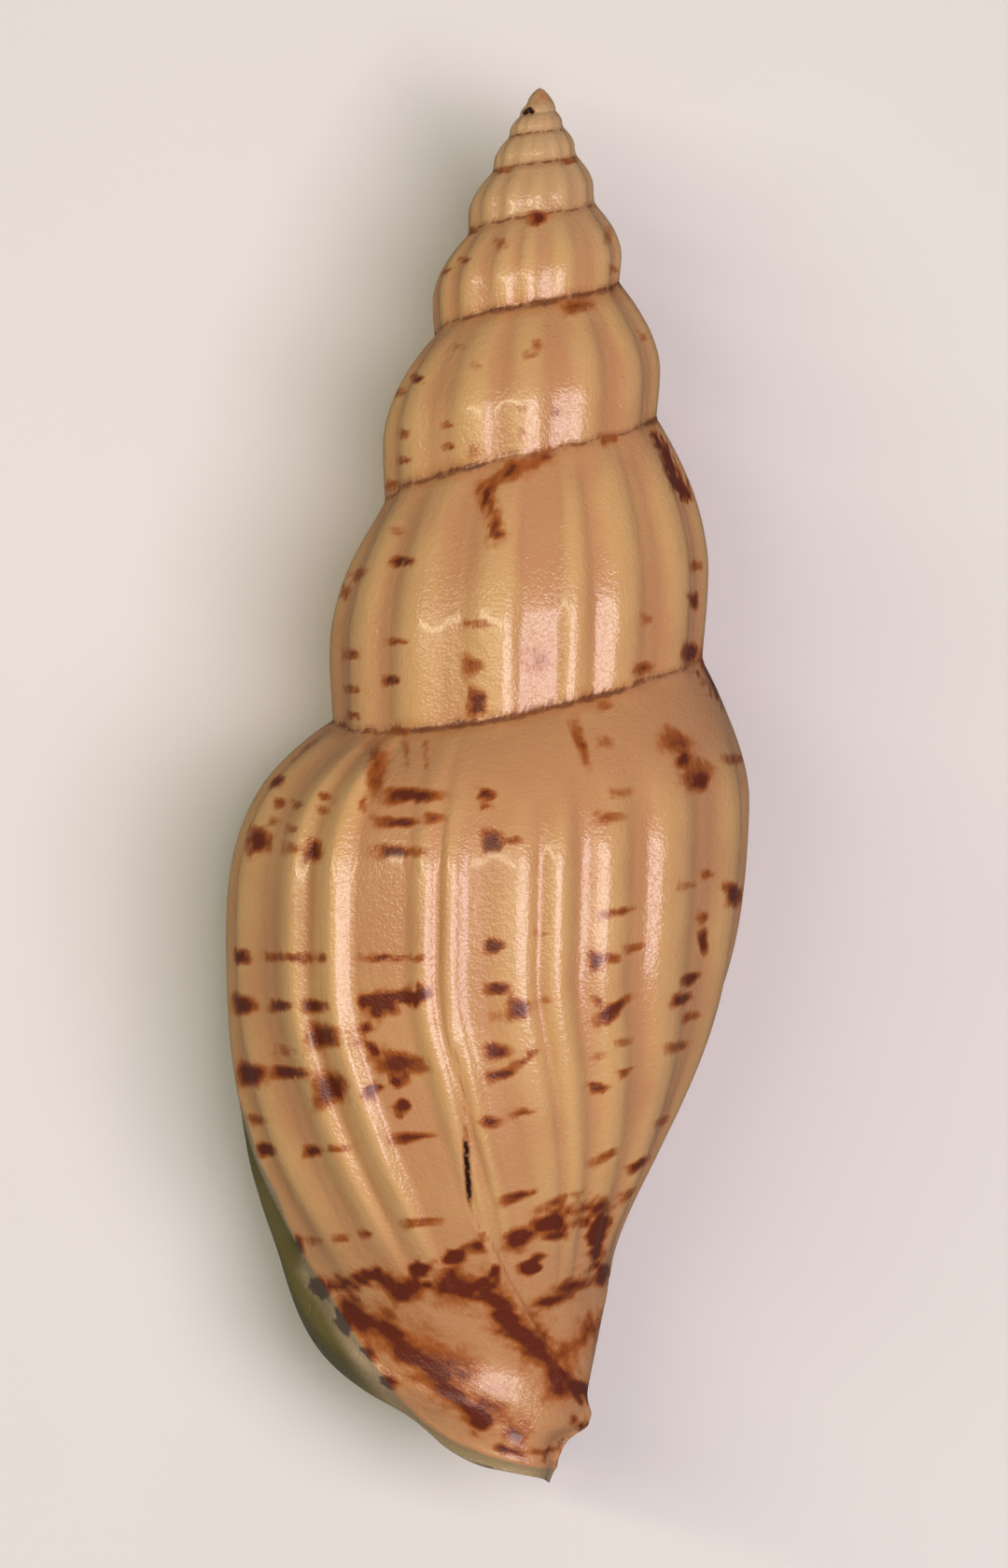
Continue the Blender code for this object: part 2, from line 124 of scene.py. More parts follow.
# depth, angle of the lip's edge, from the back corner of the aperture to the siphon
LIP = np.array([
    (35.6, 216), (51, 216), (58, 211), (64, 205.5), (70, 199), (73, 188), (75, 171),
    (76.3, 153), (78.2, 137), (79.1, 114), (79.5, 88), (80.1, 44)])
TIP_WALL = 1.3
LEAST_ROOM = 0.3
LIP_RADIUS = 8.0
CORNER_RADIUS = 12.0
SHOULDER_CROWD = 0.105
LIP_FLARE = 1.7
FLARE_DEPTH = 73.0
FLARE_LENGTH = 4.0
FLARE_TURNS = 0.5
COLLAR_SLOPE = 1.1
COLLAR_FADE = 0.85
INNER_COLLAR = 0.3
CORNER_HEIGHT = 9
CEILING_RISE = 3
LEAST_GAP = 0.05
RIM_START_ROWS = 5
RIM_FLATTENING = 0.85

# where the lip changes: in mm back from its edge, mm of depth, turns, or shares of its length
FLARE_BACK = (2, 9)
LIP_TAPER = (2, 14)
COLLAR_TOP = (0.5, 4)
COLLAR_DEPTHS = (68, 75)
LIP_TURNS = 0.3
SPIRAL_TURNS = (-1, -0.35)
TIP_SHARES = (0.86, 0.93)
SIPHON_SHARES = (0.9, 1)
CLOSED_SHARES = (0.93, 1)
FLAT_SHARES = (0.88, 1)

# ribs that show on the back, one row for each whorl back from the lip: angle, height, older and
# newer width
SEEN_RIBS = (
    ((23.5, 1, 11, 12), (52, 1, 11, 8), (69.3, 0.9, 7, 7), (82, 1, 5, 5), (90.3, 0.8, 5, 9),
     (106.4, 0.75, 3.6, 2.8), (111.9, 0.75, 2.8, 5), (132.1, 1.5, 2.6, 9.5), (144.6, 1, 3, 10),
     (166.8, 1, 9, 9), (186, 1, 9, 9)),
    ((32.7, 1, 10, 11), (58.7, 1, 10, 10), (76.1, 0.9, 7, 5), (98.5, 1.1, 7, 14),
     (127.4, 1, 11, 11), (150.9, 1, 10, 12)),
    ((39.5, 1, 11, 12), (66.1, 1, 11, 12), (92.5, 1, 11, 12), (116.6, 1, 11, 13),
     (148.4, 1, 12, 12)),
    ((37.2, 1, 11, 14), (71.8, 1, 12, 10), (95.1, 1, 8, 8), (111, 1, 8, 10), (135.8, 1, 11, 10),
     (158.6, 1, 10, 11)))
RIBS_PER_TURN = 14
RIB_SEED = 7
RIB_BREADTH = 1.3
RIB_POWER = 1.6
RIB_GAP = 0.12
RIB_SHIFT = 0.07
RIB_HEIGHTS = (0.85, 1.05)
OLDER_FLANK = 0.42
NEWER_FLANK = 0.46
EARLIER_RIBS = 0.75
EARLIER_REACH = 0.16
EARLIER_LEAST = 8
SUTURE_WAVE = 0.016

# where ribs rise and fade: in turns, degrees, shares of a whorl, mm from the suture, or depth
NEW_RIB_TURNS = (-0.45, -0.25)
NEW_RIB_ANGLES = (95, 130)
NEW_RIB_TOP = 0.45
NEW_RIB_RISE = (0, 4)
OLD_RIB_RISE = (2.5, 9)
SPIRE_RIB_TOP = 0.5
SPIRE_RIB_RISE = (0, 0.35)
SPIRE_RIB_DIP = 0.25
SPIRE_RIB_FALL = (0.7, 1)
SPIRE_RIB_DEPTHS = (50, 62)
BODY_RIB_TURNS = (-1, -0.72)
BODY_RIB_DEPTHS = (61, 71)
CALLUS_RIB_TURNS = (-0.86, -0.78)

# columella folds: depth on the aperture's edge, height, half width
FOLDS = (
    (47.5, 0.35, 0.7), (51.5, 0.4, 0.75), (55.8, 0.55, 0.85), (60.5, 0.85, 1), (65.5, 1.1, 1.1),
    (70.5, 1.1, 1.15))
FOLD_PITCH = 15.0
FOLD_TURN = -1.1
FOLD_START = (-1.4, -1.15)
FOLD_END = (-0.93, -0.82)

# mesh: columns and rows of each whorl, from the one under the body whorl up to the apex
WHORLS = ((300, 44), (190, 28), (140, 18), (110, 12), (90, 10), (70, 8), (56, 7))
RIM_ROWS = 8
BODY_ROWS = 138
ROOM_COLUMNS = 26
ROOM_TURNS = 0.75
BACK_SHARE = 0.42
FINE_SHARE = 0.27

# how it lies: turned about its length, then lifted at the apex end, in degrees
REST_ROLL = -4.0
REST_PITCH = 0.5
REST_WEAR = 0.25
WELD = 0.002

# what each point of the mesh tells the material, besides its place in growth
FIELDS = ("crest", "seam", "lip", "mouth", "pigment", "scar")
GROWTH_SCALE = 60.0
ROOM_CROWD = 1.4
FRONT_ROUNDNESS = 2.0
TIP_ROUNDNESS = 1.7

# where the fields start and end: in mm, turns, or shares of the way round or down the rim
BAND_EDGE = (0.9, 0.2)
CALLUS_DEPTHS = (0.5, 2)
CALLUS_TURNS = (-0.9, -0.84)
SEAM_REACH = 2
SEAM_WHORL = 6
SEAM_LEAST = 0.25
SEAM_TURNS = (-6.6, -6.2)
LIP_TOP = (3, 9)
SIDE_DEPTHS = (58, 63)
SIDE_LEVELS = (-0.6, 0.8)
OUTER_RIM = (0, 0.2)
INNER_RIM = (0.45, 0.85)
RIM_CORNER = (0.03, 0.12)

# marks: how dark they are, and how they are drawn; a ripple has a size and a seed
DARK, RUST, FAINT = 1.5, 0.85, 0.45
BAND_HALO = 0.75
BAND_UNEVEN = 0.18
VIEW_LEAN = 1.15
SPREAD = 0.3
STROKE_TAIL = 0.3
UNEVEN = 0.1
FINE_RIPPLE = (1.1, 2)
BROAD_RIPPLE = (2.6, 3)
RIPPLE_SPREAD = (0.6, 1.5)
SQUARENESS = 4
ROLL_OFF = 0.35
WAVES = 9
FAR = 90.0
FACING = (-1, 0.5)
MARK_SEED = 5
MARK_ROWS = (40.7, 43.7, 49.9, 52.7, 55.8, 59.6, 61.5, 65.5, 68.5, 71.5)
MARKS_A_ROW = 9
ROW_ANGLES = (175, 365)
ROW_SPREAD = 0.35
ROW_SLOPE = 0.02
DASH_LENGTHS = (0.8, 3.2)
DASH_HEIGHTS = (0.35, 1.1)
DASH_LEANS = (-12, 6)

# patterns in the glaze, by how many there are to a mm; streaks and threads follow growth, so
# theirs are how many to a step of growth and to a mm of depth
CLOUDS = 0.16
CLUMPS = 1.3
GRAIN = 1.6
PEEL = 2.4
PORES = 5.5
STREAKS = (2, 0.25, 1)
THREADS = (9, 0.5, 1)

# stains, with partly painted shade along the sutures and painted shadow in the open crack:
# where each starts, where it is full, and how strong it is
WARM_CLOUDS = (0.02, 0.24, 0.35)
SUTURE_BLUSH_AND_SHADE = (1.2, 2.2, 0.6)
SUTURE_LINE_AND_SHADE = (1.78, 2.02, 0.85)
MARK_EDGE = (-0.35, 0.3, 0.5)
MARK_BODY = (0, 0.6, 0.92)
MARK_CENTRE = (0.42, 1.15, 0.94)
CRACK_EDGE = (0.2, 0.55, 0.6)
CRACK_SHADOW = (0.5, 0.8, 1)
LIP_BRUISE = (0.1, 0.6, 0.8)
YOUNG_DEPTHS = (2, 12)
YOUNG_STRENGTH = 0.8
FRONT_DEPTHS = (73, 78)

# what is the same all over the glaze
GLAZE = {
    "IOR": 1.45, "Coat Weight": 0.25, "Coat Roughness": 0.08, "Subsurface Weight": 0.08,
    "Subsurface Radius": (1, 0.45, 0.25), "Subsurface Scale": 0.6 * MM}

# stage, in metres: floor, camera, and each light's name, power, size, place and colour
FLOOR_SIZE = 3.0
LENS = 400.0
FRAME_HEIGHT = 0.09013
VIEW_CENTRE = (0.0016, 0.0001)
MIDDLE_HEIGHT = 0.012
LIGHTS = (
    ("left strip", 1.15, (0.04, 0.5), (-0.32, 0.07, 0.48), (1, 0.93, 0.67)),
    ("right box", 2.3, (0.2, 0.42), (0.15, -0.04, 0.55), (1, 0.88, 0.93)),
    ("soft top", 0.72, (0.8, 0.8), (0, -0.25, 0.8), (1, 0.98, 0.95)))
WORLD_COLOUR = (1, 0.97, 0.93, 1)
WORLD_STRENGTH = 0.08
FLOOR_MOTTLE = 30.0
FLOOR_SHADE = 0.93
FLOOR_ROUGHNESS = 0.75

# lines on the back, in mm as seen from above: across from the apex, along from it; with each,
# its relief in mm, how wide its relief and its colour are, and how dark it is; the open crack
# and the chip are filled with painted shadow, and the lip's flange with olive that holds
# painted shade
SCAR = ((-4.8, 55), (-4.3, 58), (-4.2, 61.2), (-4, 64), (-3.5, 65.2), (-2.7, 66.3),
        (-1.8, 68.2), (-0.5, 70.5), (0.5, 72.3))
SCAR_HEIGHT = 0.22
SCAR_CRACK = 0.25
SCAR_STEP = 0.15
SCAR_FADE = (-3, -0.5)
SCAR_LINE = 0.15
SCAR_SHADE = 0.5
CRACK_SHIFT = 0.1
CRACK_WIDTH = 0.2
CRACK_HEALED = 0.3
SLIT_START = (0.17, 0.23)
SLIT_END = (0.34, 0.39)
SLIT_WIDTH = 0.08
CHIP = ((-0.85, 1.45), (-0.6, 1.25), (-0.45, 1.4))
CHIP_DEPTH = 0.16
CHIP_WIDTH = 0.2
CHIP_LINE = 0.17
CHIP_SHADE = 1.2
LIP_LINE = (
    (-17.4, 57), (-16, 61.6), (-14.9, 63.7), (-14.4, 65.2), (-13.2, 67.5), (-12, 69.2),
    (-10.7, 71.3), (-9.4, 73.2), (-8, 75.1), (-6.6, 76.5), (-4.9, 77.6), (-2.9, 78.4),
    (-0.9, 78.9), (1.2, 79.3))
LIP_RIDGE = 0.12
RIDGE_WIDTH = 0.25
FLANGE_WIDTH = 2.5
FLANGE_LOW = -8.0
FLANGE_DEPTHS = (57, 60)
RIM_OLIVE_AND_SHADE = 0.5

# marks on the back, in mm and degrees as seen from above: across from the apex, along from it,
# length, height, and the lean down to the right of those that lean
DARK_MARKS = (
    (-15.3, 39.8, 1, 0.8), (-16.1, 43.3, 1.3, 1.5), (-12.9, 43.8, 0.9, 1.3), (-7.2, 40.7, 4, 0.7),
    (-8.2, 43.9, 2.2, 0.6), (-3.1, 40.6, 1, 0.55), (-8, 42.2, 2.4, 0.4), (-2.7, 43.3, 1.2, 1.4),
    (8.2, 38.6, 0.9, 1, 10), (9.1, 39.8, 1.2, 1.3, 10), (11.1, 46.3, 0.8, 1.4, -30),
    (10, 34, 3.9, 0.6, 65), (-17.1, 49.9, 1.2, 0.7), (-9, 49.9, 1.4, 0.3), (-17, 52.7, 1.4, 1.1),
    (-12.8, 52.7, 1.4, 0.6), (-14.8, 52.7, 1.3, 0.5), (-7.9, 55.9, 3, 1.2, 5),
    (-12.4, 54.4, 1.9, 1.4), (-12, 57.4, 2, 2.1), (-8.7, 52.5, 1.6, 1.2), (-16.5, 56.7, 2.2, 1.3),
    (-14.4, 56.5, 2.5, 0.6), (-15.7, 61, 1, 0.7), (-13, 61, 1, 0.6, -5), (-7.3, 60.1, 3, 0.4, -6),
    (-2.7, 49.2, 1.2, 0.7), (-2.4, 51.6, 1.5, 0.5), (-1.2, 52.8, 1.3, 1.1), (-2.4, 55.2, 1.6, 0.8),
    (-2.2, 56.5, 1.9, 0.5, -16), (-2.7, 59.2, 1.2, 0.45), (3.2, 50.1, 0.8, 1),
    (4.1, 52.9, 2.6, 0.6, -38), (3.4, 57.3, 1.2, 0.4), (9.3, 49, 1.4, 0.4, 80),
    (8.6, 51.1, 1, 0.5, -20), (8, 52.3, 1.1, 0.6, -20), (-1.3, 63.5, 2.2, 0.4, -18),
    (5.6, 61.8, 1.4, 0.4, -30), (-13.9, 66.6, 0.9, 0.7, 50), (-12.6, 69, 1.4, 0.9, 50),
    (-11.2, 71, 1.2, 0.8, 50), (-9.8, 72.6, 0.8, 0.6, 50), (-8.6, 74.2, 1.1, 0.7, 40),
    (-7.8, 27.3, 1.3, 0.4), (-8.5, 34.1, 1, 0.4), (-3.6, 35.4, 1, 1.5), (8.6, 32.5, 0.9, 1.1),
    (-0.1, 7.6, 1, 0.7), (8.8, 29.5, 0.9, 0.4, 80), (-7, 16.8, 0.6, 0.3))
RUST_MARKS = (
    (-13.8, 37.8, 2.4, 0.7, 135), (-14.9, 41.1, 0.5, 0.4), (-13.8, 41.2, 0.5, 0.3),
    (-12.3, 40.7, 0.5, 0.3), (-12.4, 41.5, 0.5, 0.3), (-9.3, 39.3, 3.4, 1.1, 96),
    (-8.7, 42.2, 1.6, 0.5), (-6, 42, 1.2, 0.5), (-8, 43.9, 3.5, 0.45), (-10.1, 41.2, 0.9, 0.2, 88),
    (-3.1, 41.3, 0.8, 0.3), (-1.7, 43.2, 1.6, 0.25), (2.3, 37.8, 3.1, 0.5, 72),
    (4, 41.9, 1.6, 0.45, -5), (11.1, 38.6, 1.1, 0.45), (7.8, 37.7, 2.2, 1.3, 20),
    (9, 39.4, 1.8, 1.6, 15), (9.6, 45.2, 0.7, 0.4), (-15.2, 49.9, 0.9, 0.4),
    (-13.3, 49.9, 0.6, 0.5), (-14.4, 49.9, 0.4, 0.35), (-12.3, 49.9, 0.4, 0.35),
    (-8.4, 49.9, 4.1, 0.2), (-6.8, 49.9, 0.6, 0.3), (-14.2, 49.9, 3.4, 0.25),
    (-16.2, 59.3, 0.8, 0.5), (-11.5, 60.8, 1.3, 0.3, -4), (-1.2, 55.9, 0.8, 0.4, -15),
    (-0.4, 55.3, 0.8, 0.35, -15), (-1.1, 58.7, 1.6, 0.25, -10), (4.3, 47.3, 2.1, 0.35, -12),
    (4, 49.9, 0.9, 0.5), (5.4, 49.3, 1.2, 0.3, -15), (3.3, 52.4, 0.5, 0.4),
    (4.9, 56.4, 1, 0.25, -25), (9.3, 47.6, 0.5, 0.5), (8.6, 53.3, 0.9, 0.45, -20),
    (7.9, 55, 1.4, 0.4, -15), (7, 59.3, 0.9, 0.3, -25), (-11.4, 66, 0.8, 0.35, -5),
    (-9.9, 65.7, 0.7, 0.35, -5), (-6.7, 65, 2.4, 0.35, -8), (3.6, 61.3, 1.8, 0.35, -30),
    (5, 63.5, 1, 0.4, -30), (1, 63.8, 3.1, 0.2, -23), (2.4, 65, 1.8, 0.3, -15),
    (-10.4, 28, 0.9, 0.5, -30), (-11.2, 29, 0.8, 0.4, 100), (-4.1, 30.9, 0.6, 0.3),
    (-10.8, 32.6, 0.9, 0.5), (-8.2, 31.9, 1.2, 0.25), (-10.8, 34.6, 0.8, 0.35),
    (-10.7, 36.1, 0.7, 0.3), (-8, 37, 1, 0.3), (-3.9, 33.3, 1.2, 1), (5.9, 33.4, 1.2, 0.5, -10),
    (9, 27.5, 0.6, 0.4), (2.2, 12.7, 1.9, 0.7, -8), (-8, 17.5, 0.5, 0.4), (0.9, 18.8, 0.4, 0.4),
    (-5.2, 19.5, 0.6, 0.2), (-5.2, 20.7, 0.6, 0.2), (-7.8, 20, 0.4, 0.4), (-7.8, 21.5, 0.5, 0.3),
    (-8.4, 22.9, 0.6, 0.5), (3.9, 20.3, 1, 0.5, -10), (-3.9, 8.3, 0.6, 0.3), (-4.3, 10, 0.5, 0.2),
    (-5.4, 10.6, 0.5, 0.2), (-2, 4.8, 0.8, 0.2, -10), (1.7, 4.3, 0.8, 0.2, -10))
FAINT_MARKS = (
    (-15.2, 42.2, 0.5, 0.3), (-14.2, 42.6, 0.5, 0.3), (-14.1, 43.7, 1, 0.5),
    (-7.6, 38.4, 1.6, 0.15, 88), (-6.5, 38.4, 1.6, 0.15, 88), (3.7, 35.6, 1, 0.5),
    (3.7, 37.6, 1, 0.5), (4.6, 40.5, 1.4, 0.35, -5), (8.3, 45.8, 0.9, 0.4), (-14.6, 55.3, 1, 0.5),
    (-9.7, 57.6, 0.5, 0.4), (-2.5, 53.2, 0.8, 0.4), (0.1, 52.3, 0.8, 0.35), (0, 48.5, 0.6, 0.3),
    (4.7, 54.7, 0.8, 0.3, -20), (3.4, 55.4, 0.8, 0.3, -20), (10.9, 46.8, 0.5, 0.4),
    (-12.9, 66.2, 0.9, 0.35), (-8, 25.6, 1, 0.3), (-3.3, 30.9, 1.6, 0.2), (6.1, 30.6, 0.6, 0.5),
    (-0.1, 33, 1.4, 1.2), (-0.1, 15, 0.5, 0.5), (-0.6, 15.6, 0.7, 0.4), (-4.6, 15, 0.5, 0.3),
    (-3.6, 16.1, 0.5, 0.3), (-1, 18.6, 0.5, 0.2), (-1, 20, 0.5, 0.3), (-3.7, 20.9, 0.8, 0.6),
    (6, 14.4, 0.4, 0.3), (-2.2, 9.1, 0.5, 0.5), (3.9, 8.5, 0.9, 0.3, 90), (4.2, 10.5, 0.4, 0.3))

# bands on the back: how dark, how wide, and the line each of them follows
BANDS = (
    (DARK, 1.9, ((-5.5, 68.6), (-3.5, 68.8), (-2.5, 69.8), (-1.4, 71.1), (0.1, 72.5), (1.2, 74.5))),
    (DARK, 2, ((-10.8, 70.3), (-9.1, 71.2), (-7.8, 72.3), (-6.3, 73.3), (-5.2, 74.7))),
    (DARK, 1.4, ((-5.2, 74.7), (-4.2, 75.8), (-3.2, 76.4))),
    (RUST, 2.2, ((-7.6, 72), (-5.4, 73), (-4.4, 73.8))),
    (RUST, 1.4, ((-3.2, 75.3), (-1.8, 76.4), (-1.2, 77.8))),
    (DARK, 0.9, ((-12.3, 68.9), (-10.1, 68.2), (-8.4, 68.4))),
    (DARK, 1.5, ((-8.6, 68.4), (-7.4, 69.1))),
    (DARK, 0.7, ((-7.2, 67.8), (-5.5, 67.2), (-3.5, 66.3))),
    (DARK, 1.1, ((-1.6, 66), (-0.4, 65.4), (0.8, 65))),
    (RUST, 1, ((-0.4, 65.2), (1.6, 64.4), (3.6, 64.2))),
    (RUST, 0.5, ((0.2, 66), (2.6, 65.1))),
    (DARK, 0.5, ((-1.4, 68), (-0.6, 67.6), (0.1, 67))),
    (DARK, 1, ((3.5, 65.2), (3.1, 66.2), (3.2, 67.4))),
    (DARK, 0.9, ((-0.9, 70.2), (1.1, 69.2), (3.4, 68.2))),
    (RUST, 1.3, ((0.6, 73), (2.4, 72), (3, 71))),
    (DARK, 0.9, ((0.7, 74.2), (2, 74.6), (2.7, 75))),
    (RUST, 0.5, ((-2.5, 78), (-0.5, 78.3), (1, 78.2))),
    (RUST, 0.5, ((2, 76.6), (2.6, 77))),
    (RUST, 0.12, ((-6.3, 68.6), (-4.4, 68.4), (-2.5, 68.1))),
    (RUST, 0.9, ((0.4, 21.4), (-1.5, 22.1), (-3, 23.2), (-2.8, 24.6), (-2.5, 25.8))),
    (DARK, 0.5, ((6.5, 20.1), (7.2, 21.2), (7.6, 22.5), (8.5, 23.5))),
    (RUST, 0.3, ((9.2, 33.7), (10.8, 35.6))),
    (DARK, 0.8, ((-6.4, 52.1), (-8.2, 52.2), (-9.9, 52.3))),
    (DARK, 0.8, ((-9.3, 52.8), (-9.8, 53.6), (-10.1, 54.4), (-9.4, 55.3))),
    (DARK, 0.5, ((-7.6, 56.6), (-9, 57.2), (-9.5, 57.8), (-9, 58.4), (-7.8, 58.4))))


def through(xs, ys, x):
    """A smooth curve through the points that never overshoots them."""
    h = np.diff(xs)
    slope = np.diff(ys) / h
    m = np.concatenate([slope[:1], np.zeros(len(xs) - 2), slope[-1:]])
    same = slope[:-1] * slope[1:] > 0
    w1, w2 = 2 * h[1:] + h[:-1], h[1:] + 2 * h[:-1]
    before, after = np.where(same, slope[:-1], 1), np.where(same, slope[1:], 1)
    m[1:-1][same] = ((w1 + w2) / (w1 / before + w2 / after))[same]
    x = np.clip(x, xs[0], xs[-1])
    k = np.clip(np.searchsorted(xs, x, side="right") - 1, 0, len(xs) - 2)
    s = (x - xs[k]) / h[k]
    ends = (1 + 2 * s) * (1 - s) ** 2 * ys[k] + s * s * (3 - 2 * s) * ys[k + 1]
    return ends + s * (1 - s) * h[k] * ((1 - s) * m[k] - s * m[k + 1])


def ease(x, start, end):
    s = np.clip((x - start) / (end - start), 0, 1)
    return s * s * (3 - 2 * s)


def bell(x, width):
    """1 where x is 0, and falling off on both sides over about this width."""
    return np.exp(-(x / width) ** 2)


def whorl_radius(t):
    return through(RADII[:, 0], RADII[:, 1], t)


def suture(t):
    """Depth of the suture: an even spiral up the spire, and the seen line over the last turn."""
    spire = SUTURES[0, 1] * WHORL_RATIO ** (np.minimum(t, -1) + 1)
    return np.where(t < -1, spire, through(SUTURES[:, 0], SUTURES[:, 1], np.maximum(t, -1)))


def lower_suture(t):
    return suture(np.minimum(t + 1, 0))


def station(t, column):
    return through(STATIONS[:, 0], STATIONS[:, column], t)


def end_depth(t):
    """Depth of the front end: the notch, with the tip of the outer wall past it."""
    tip = (TIP_DEPTH - NOTCH_DEPTH) * ease(t, TIP_TURN - NOTCH_TURN, TIP_TURN)
    return NOTCH_DEPTH + tip + PAST_TIP_DROP * ease(t, TIP_TURN, 0)


def notch_step(t, d):
    """How far the surface steps in past the neck, beside the tip."""
    beside = ease(t, TIP_TURN - 2 * NOTCH_TURN, TIP_TURN - NOTCH_TURN)
    beside = beside * (1 - ease(t, TIP_TURN, TIP_TURN + NOTCH_TURN))
    return NOTCH_STEP * beside * ease(d, NOTCH_DEPTH - NOTCH_ABOVE, NOTCH_DEPTH + NOTCH_BELOW)


def nose(t, d):
    """The share of its radius by which the surface rounds in at its front end."""
    near = np.clip(1 + (d - end_depth(t)) / NOSE, 0, 1)
    return NOSE_DROP * (1 - np.sqrt(1 - near ** 2)) * (1 - ease(t, TIP_TURN - NOTCH_TURN, TIP_TURN))


def seam_radius(t):
    """Radius at the suture above a whorl: that of the whorl before, fuller towards the apex."""
    return SUTURE_TUCK * whorl_radius(t - 1) * (1 + APEX_FILL * (1 - ease(t, *APEX_TURNS)))


def band_radius(t, d):
    """A spire whorl between its two sutures."""
    radius = whorl_radius(t)
    height = np.maximum(lower_suture(t) - suture(t), LEAST_BAND)
    band = np.clip((d - suture(t)) / height, 0, 1)
    shoulder = (1 - np.clip(band / SPIRE_SHOULDER, 0, 1)) ** SHOULDER_CURVE
    foot = np.clip((band - SPIRE_SHOULDER) / (1 - SPIRE_SHOULDER), 0, 1) ** 2
    return radius - (radius - seam_radius(t)) * shoulder - (radius - seam_radius(t + 1)) * foot


def body_radius(t, d):
    """The last whorl down to the neck, or the same whorl further in, behind the aperture."""
    radius, top = whorl_radius(t), suture(t)
    belly, neck = station(t, BELLY), station(t, NECK_RADIUS)
    neck_depth = station(t, NECK_DEPTH)
    fall = np.clip((d - belly) / (neck_depth - belly), 0, 1) ** station(t, BASE_POWER)
    base = neck + (radius - neck) * 0.5 * (1 + np.cos(np.pi * fall))
    shoulder = 1 - np.clip((d - top) / (station(t, SHOULDER_END) - top), 0, 1)
    step = radius - SUTURE_TUCK * whorl_radius(t - 1)
    taper = NECK_TAPER * np.clip(d - neck_depth, 0, NECK_LENGTH)
    return base - step * shoulder ** station(t, SHOULDER_POWER) - taper


def outer_radius(t, d):
    """The smooth outer surface at growth turn t and depth d below the apex."""
    t, d = np.broadcast_arrays(t, d)
    corner = lower_suture(t)
    late = ease(t, *BODY_TURNS)
    below = np.maximum(d - corner, 0)
    step = (band_radius(np.minimum(t, -1), corner) - body_radius(t, corner)) * (1 - late)
    body = body_radius(t, d) + step * np.exp(-below / PARIETAL_BLEND)
    share = np.where(d > corner, 1, late)
    return band_radius(t, d) * (1 - share) + body * share


def all_ribs():
    """The seen ribs, with even ones in every gap between them: turn, height and two widths."""
    ribs = sorted(((angle - LIP_ANGLE) / 360 - whorl, height, older / 360, newer / 360)
                  for whorl, seen in enumerate(SEEN_RIBS) for angle, height, older, newer in seen)
    random = np.random.default_rng(RIB_SEED)
    filled = []
    before = FIRST_RIB
    for at, _, _, _ in ribs:
        count = round((at - before) * RIBS_PER_TURN) if at - before > RIB_GAP else 1
        gap = (at - before) / max(count, 1)
        for i in range(1, count):
            shift, height = random.uniform(-RIB_SHIFT, RIB_SHIFT), random.uniform(*RIB_HEIGHTS)
            middle = before + gap * (i + shift)
            filled.append((middle, height, OLDER_FLANK * gap, NEWER_FLANK * gap))
        before = at
    return ribs + filled


def rib_shape(u, ribs):
    """Height of the ribs across growth, 0 to about 1."""
    shape = np.zeros_like(u)
    newest = ease(u, *NEW_RIB_TURNS)
    for at, height, older, newer in ribs:
        away = np.where(u < at, (at - u) / older, (u - at) / newer)
        narrow = np.cos(math.pi / 2 * np.clip(away, 0, 1)) ** RIB_POWER
        broad = 1 - (1 - narrow) ** RIB_BREADTH
        shape = np.maximum(shape, height * (broad + (narrow - broad) * newest))
    return shape


def rib_reach(u, t, d):
    """How strongly the ribs show at a place: less at the sutures, not on the base or the callus."""
    top = suture(t)
    height = np.where(t < -1, np.maximum(lower_suture(t) - top, LEAST_BAND), suture(0) - suture(-1))
    band = (d - top) / height
    spire = SPIRE_RIB_TOP + (1 - SPIRE_RIB_TOP) * ease(band, *SPIRE_RIB_RISE)
    spire = spire - SPIRE_RIB_DIP * ease(band, *SPIRE_RIB_FALL)
    spire = spire * np.where(t < -1, 1, 1 - ease(d, *SPIRE_RIB_DEPTHS))
    newest = ease(LIP_ANGLE + 360 * t, *NEW_RIB_ANGLES)
    new_rise = NEW_RIB_TOP + (1 - NEW_RIB_TOP) * ease(d - top, *NEW_RIB_RISE)
    shoulder = newest * new_rise + (1 - newest) * ease(d - top, *OLD_RIB_RISE)
    body = shoulder * (1 - ease(d, *BODY_RIB_DEPTHS))
    callus = np.where(band > 1, ease(u, *CALLUS_RIB_TURNS), 1)
    late = ease(u, *BODY_RIB_TURNS)
    return (spire * (1 - late) + body * late) * callus


def from_axis(points):
    """Distance from the shell's axis, in mm."""
    return np.hypot(points[..., 0], points[..., 2]) / MM


def back_from_lip(u, radius):
    """Distance along the whorl from the lip's edge."""
    return -u * 2 * math.pi * radius


def flare(u, d, radius):
    """How far the lip spreads outwards near the front end."""
    near = (1 - ease(back_from_lip(u, radius), *FLARE_BACK)) * (u > -FLARE_TURNS)
    return LIP_FLARE * bell(d - FLARE_DEPTH, FLARE_LENGTH) * near


def fold_height(t, d):
    """Oblique ridges round the columella, seen in the aperture."""
    height = np.zeros_like(d)
    for depth, top, half_width in FOLDS:
        middle = depth + FOLD_PITCH * (t - FOLD_TURN)
        height += top * bell(d - middle, half_width)
    return height * ease(t, *FOLD_START) * (1 - ease(t, *FOLD_END))


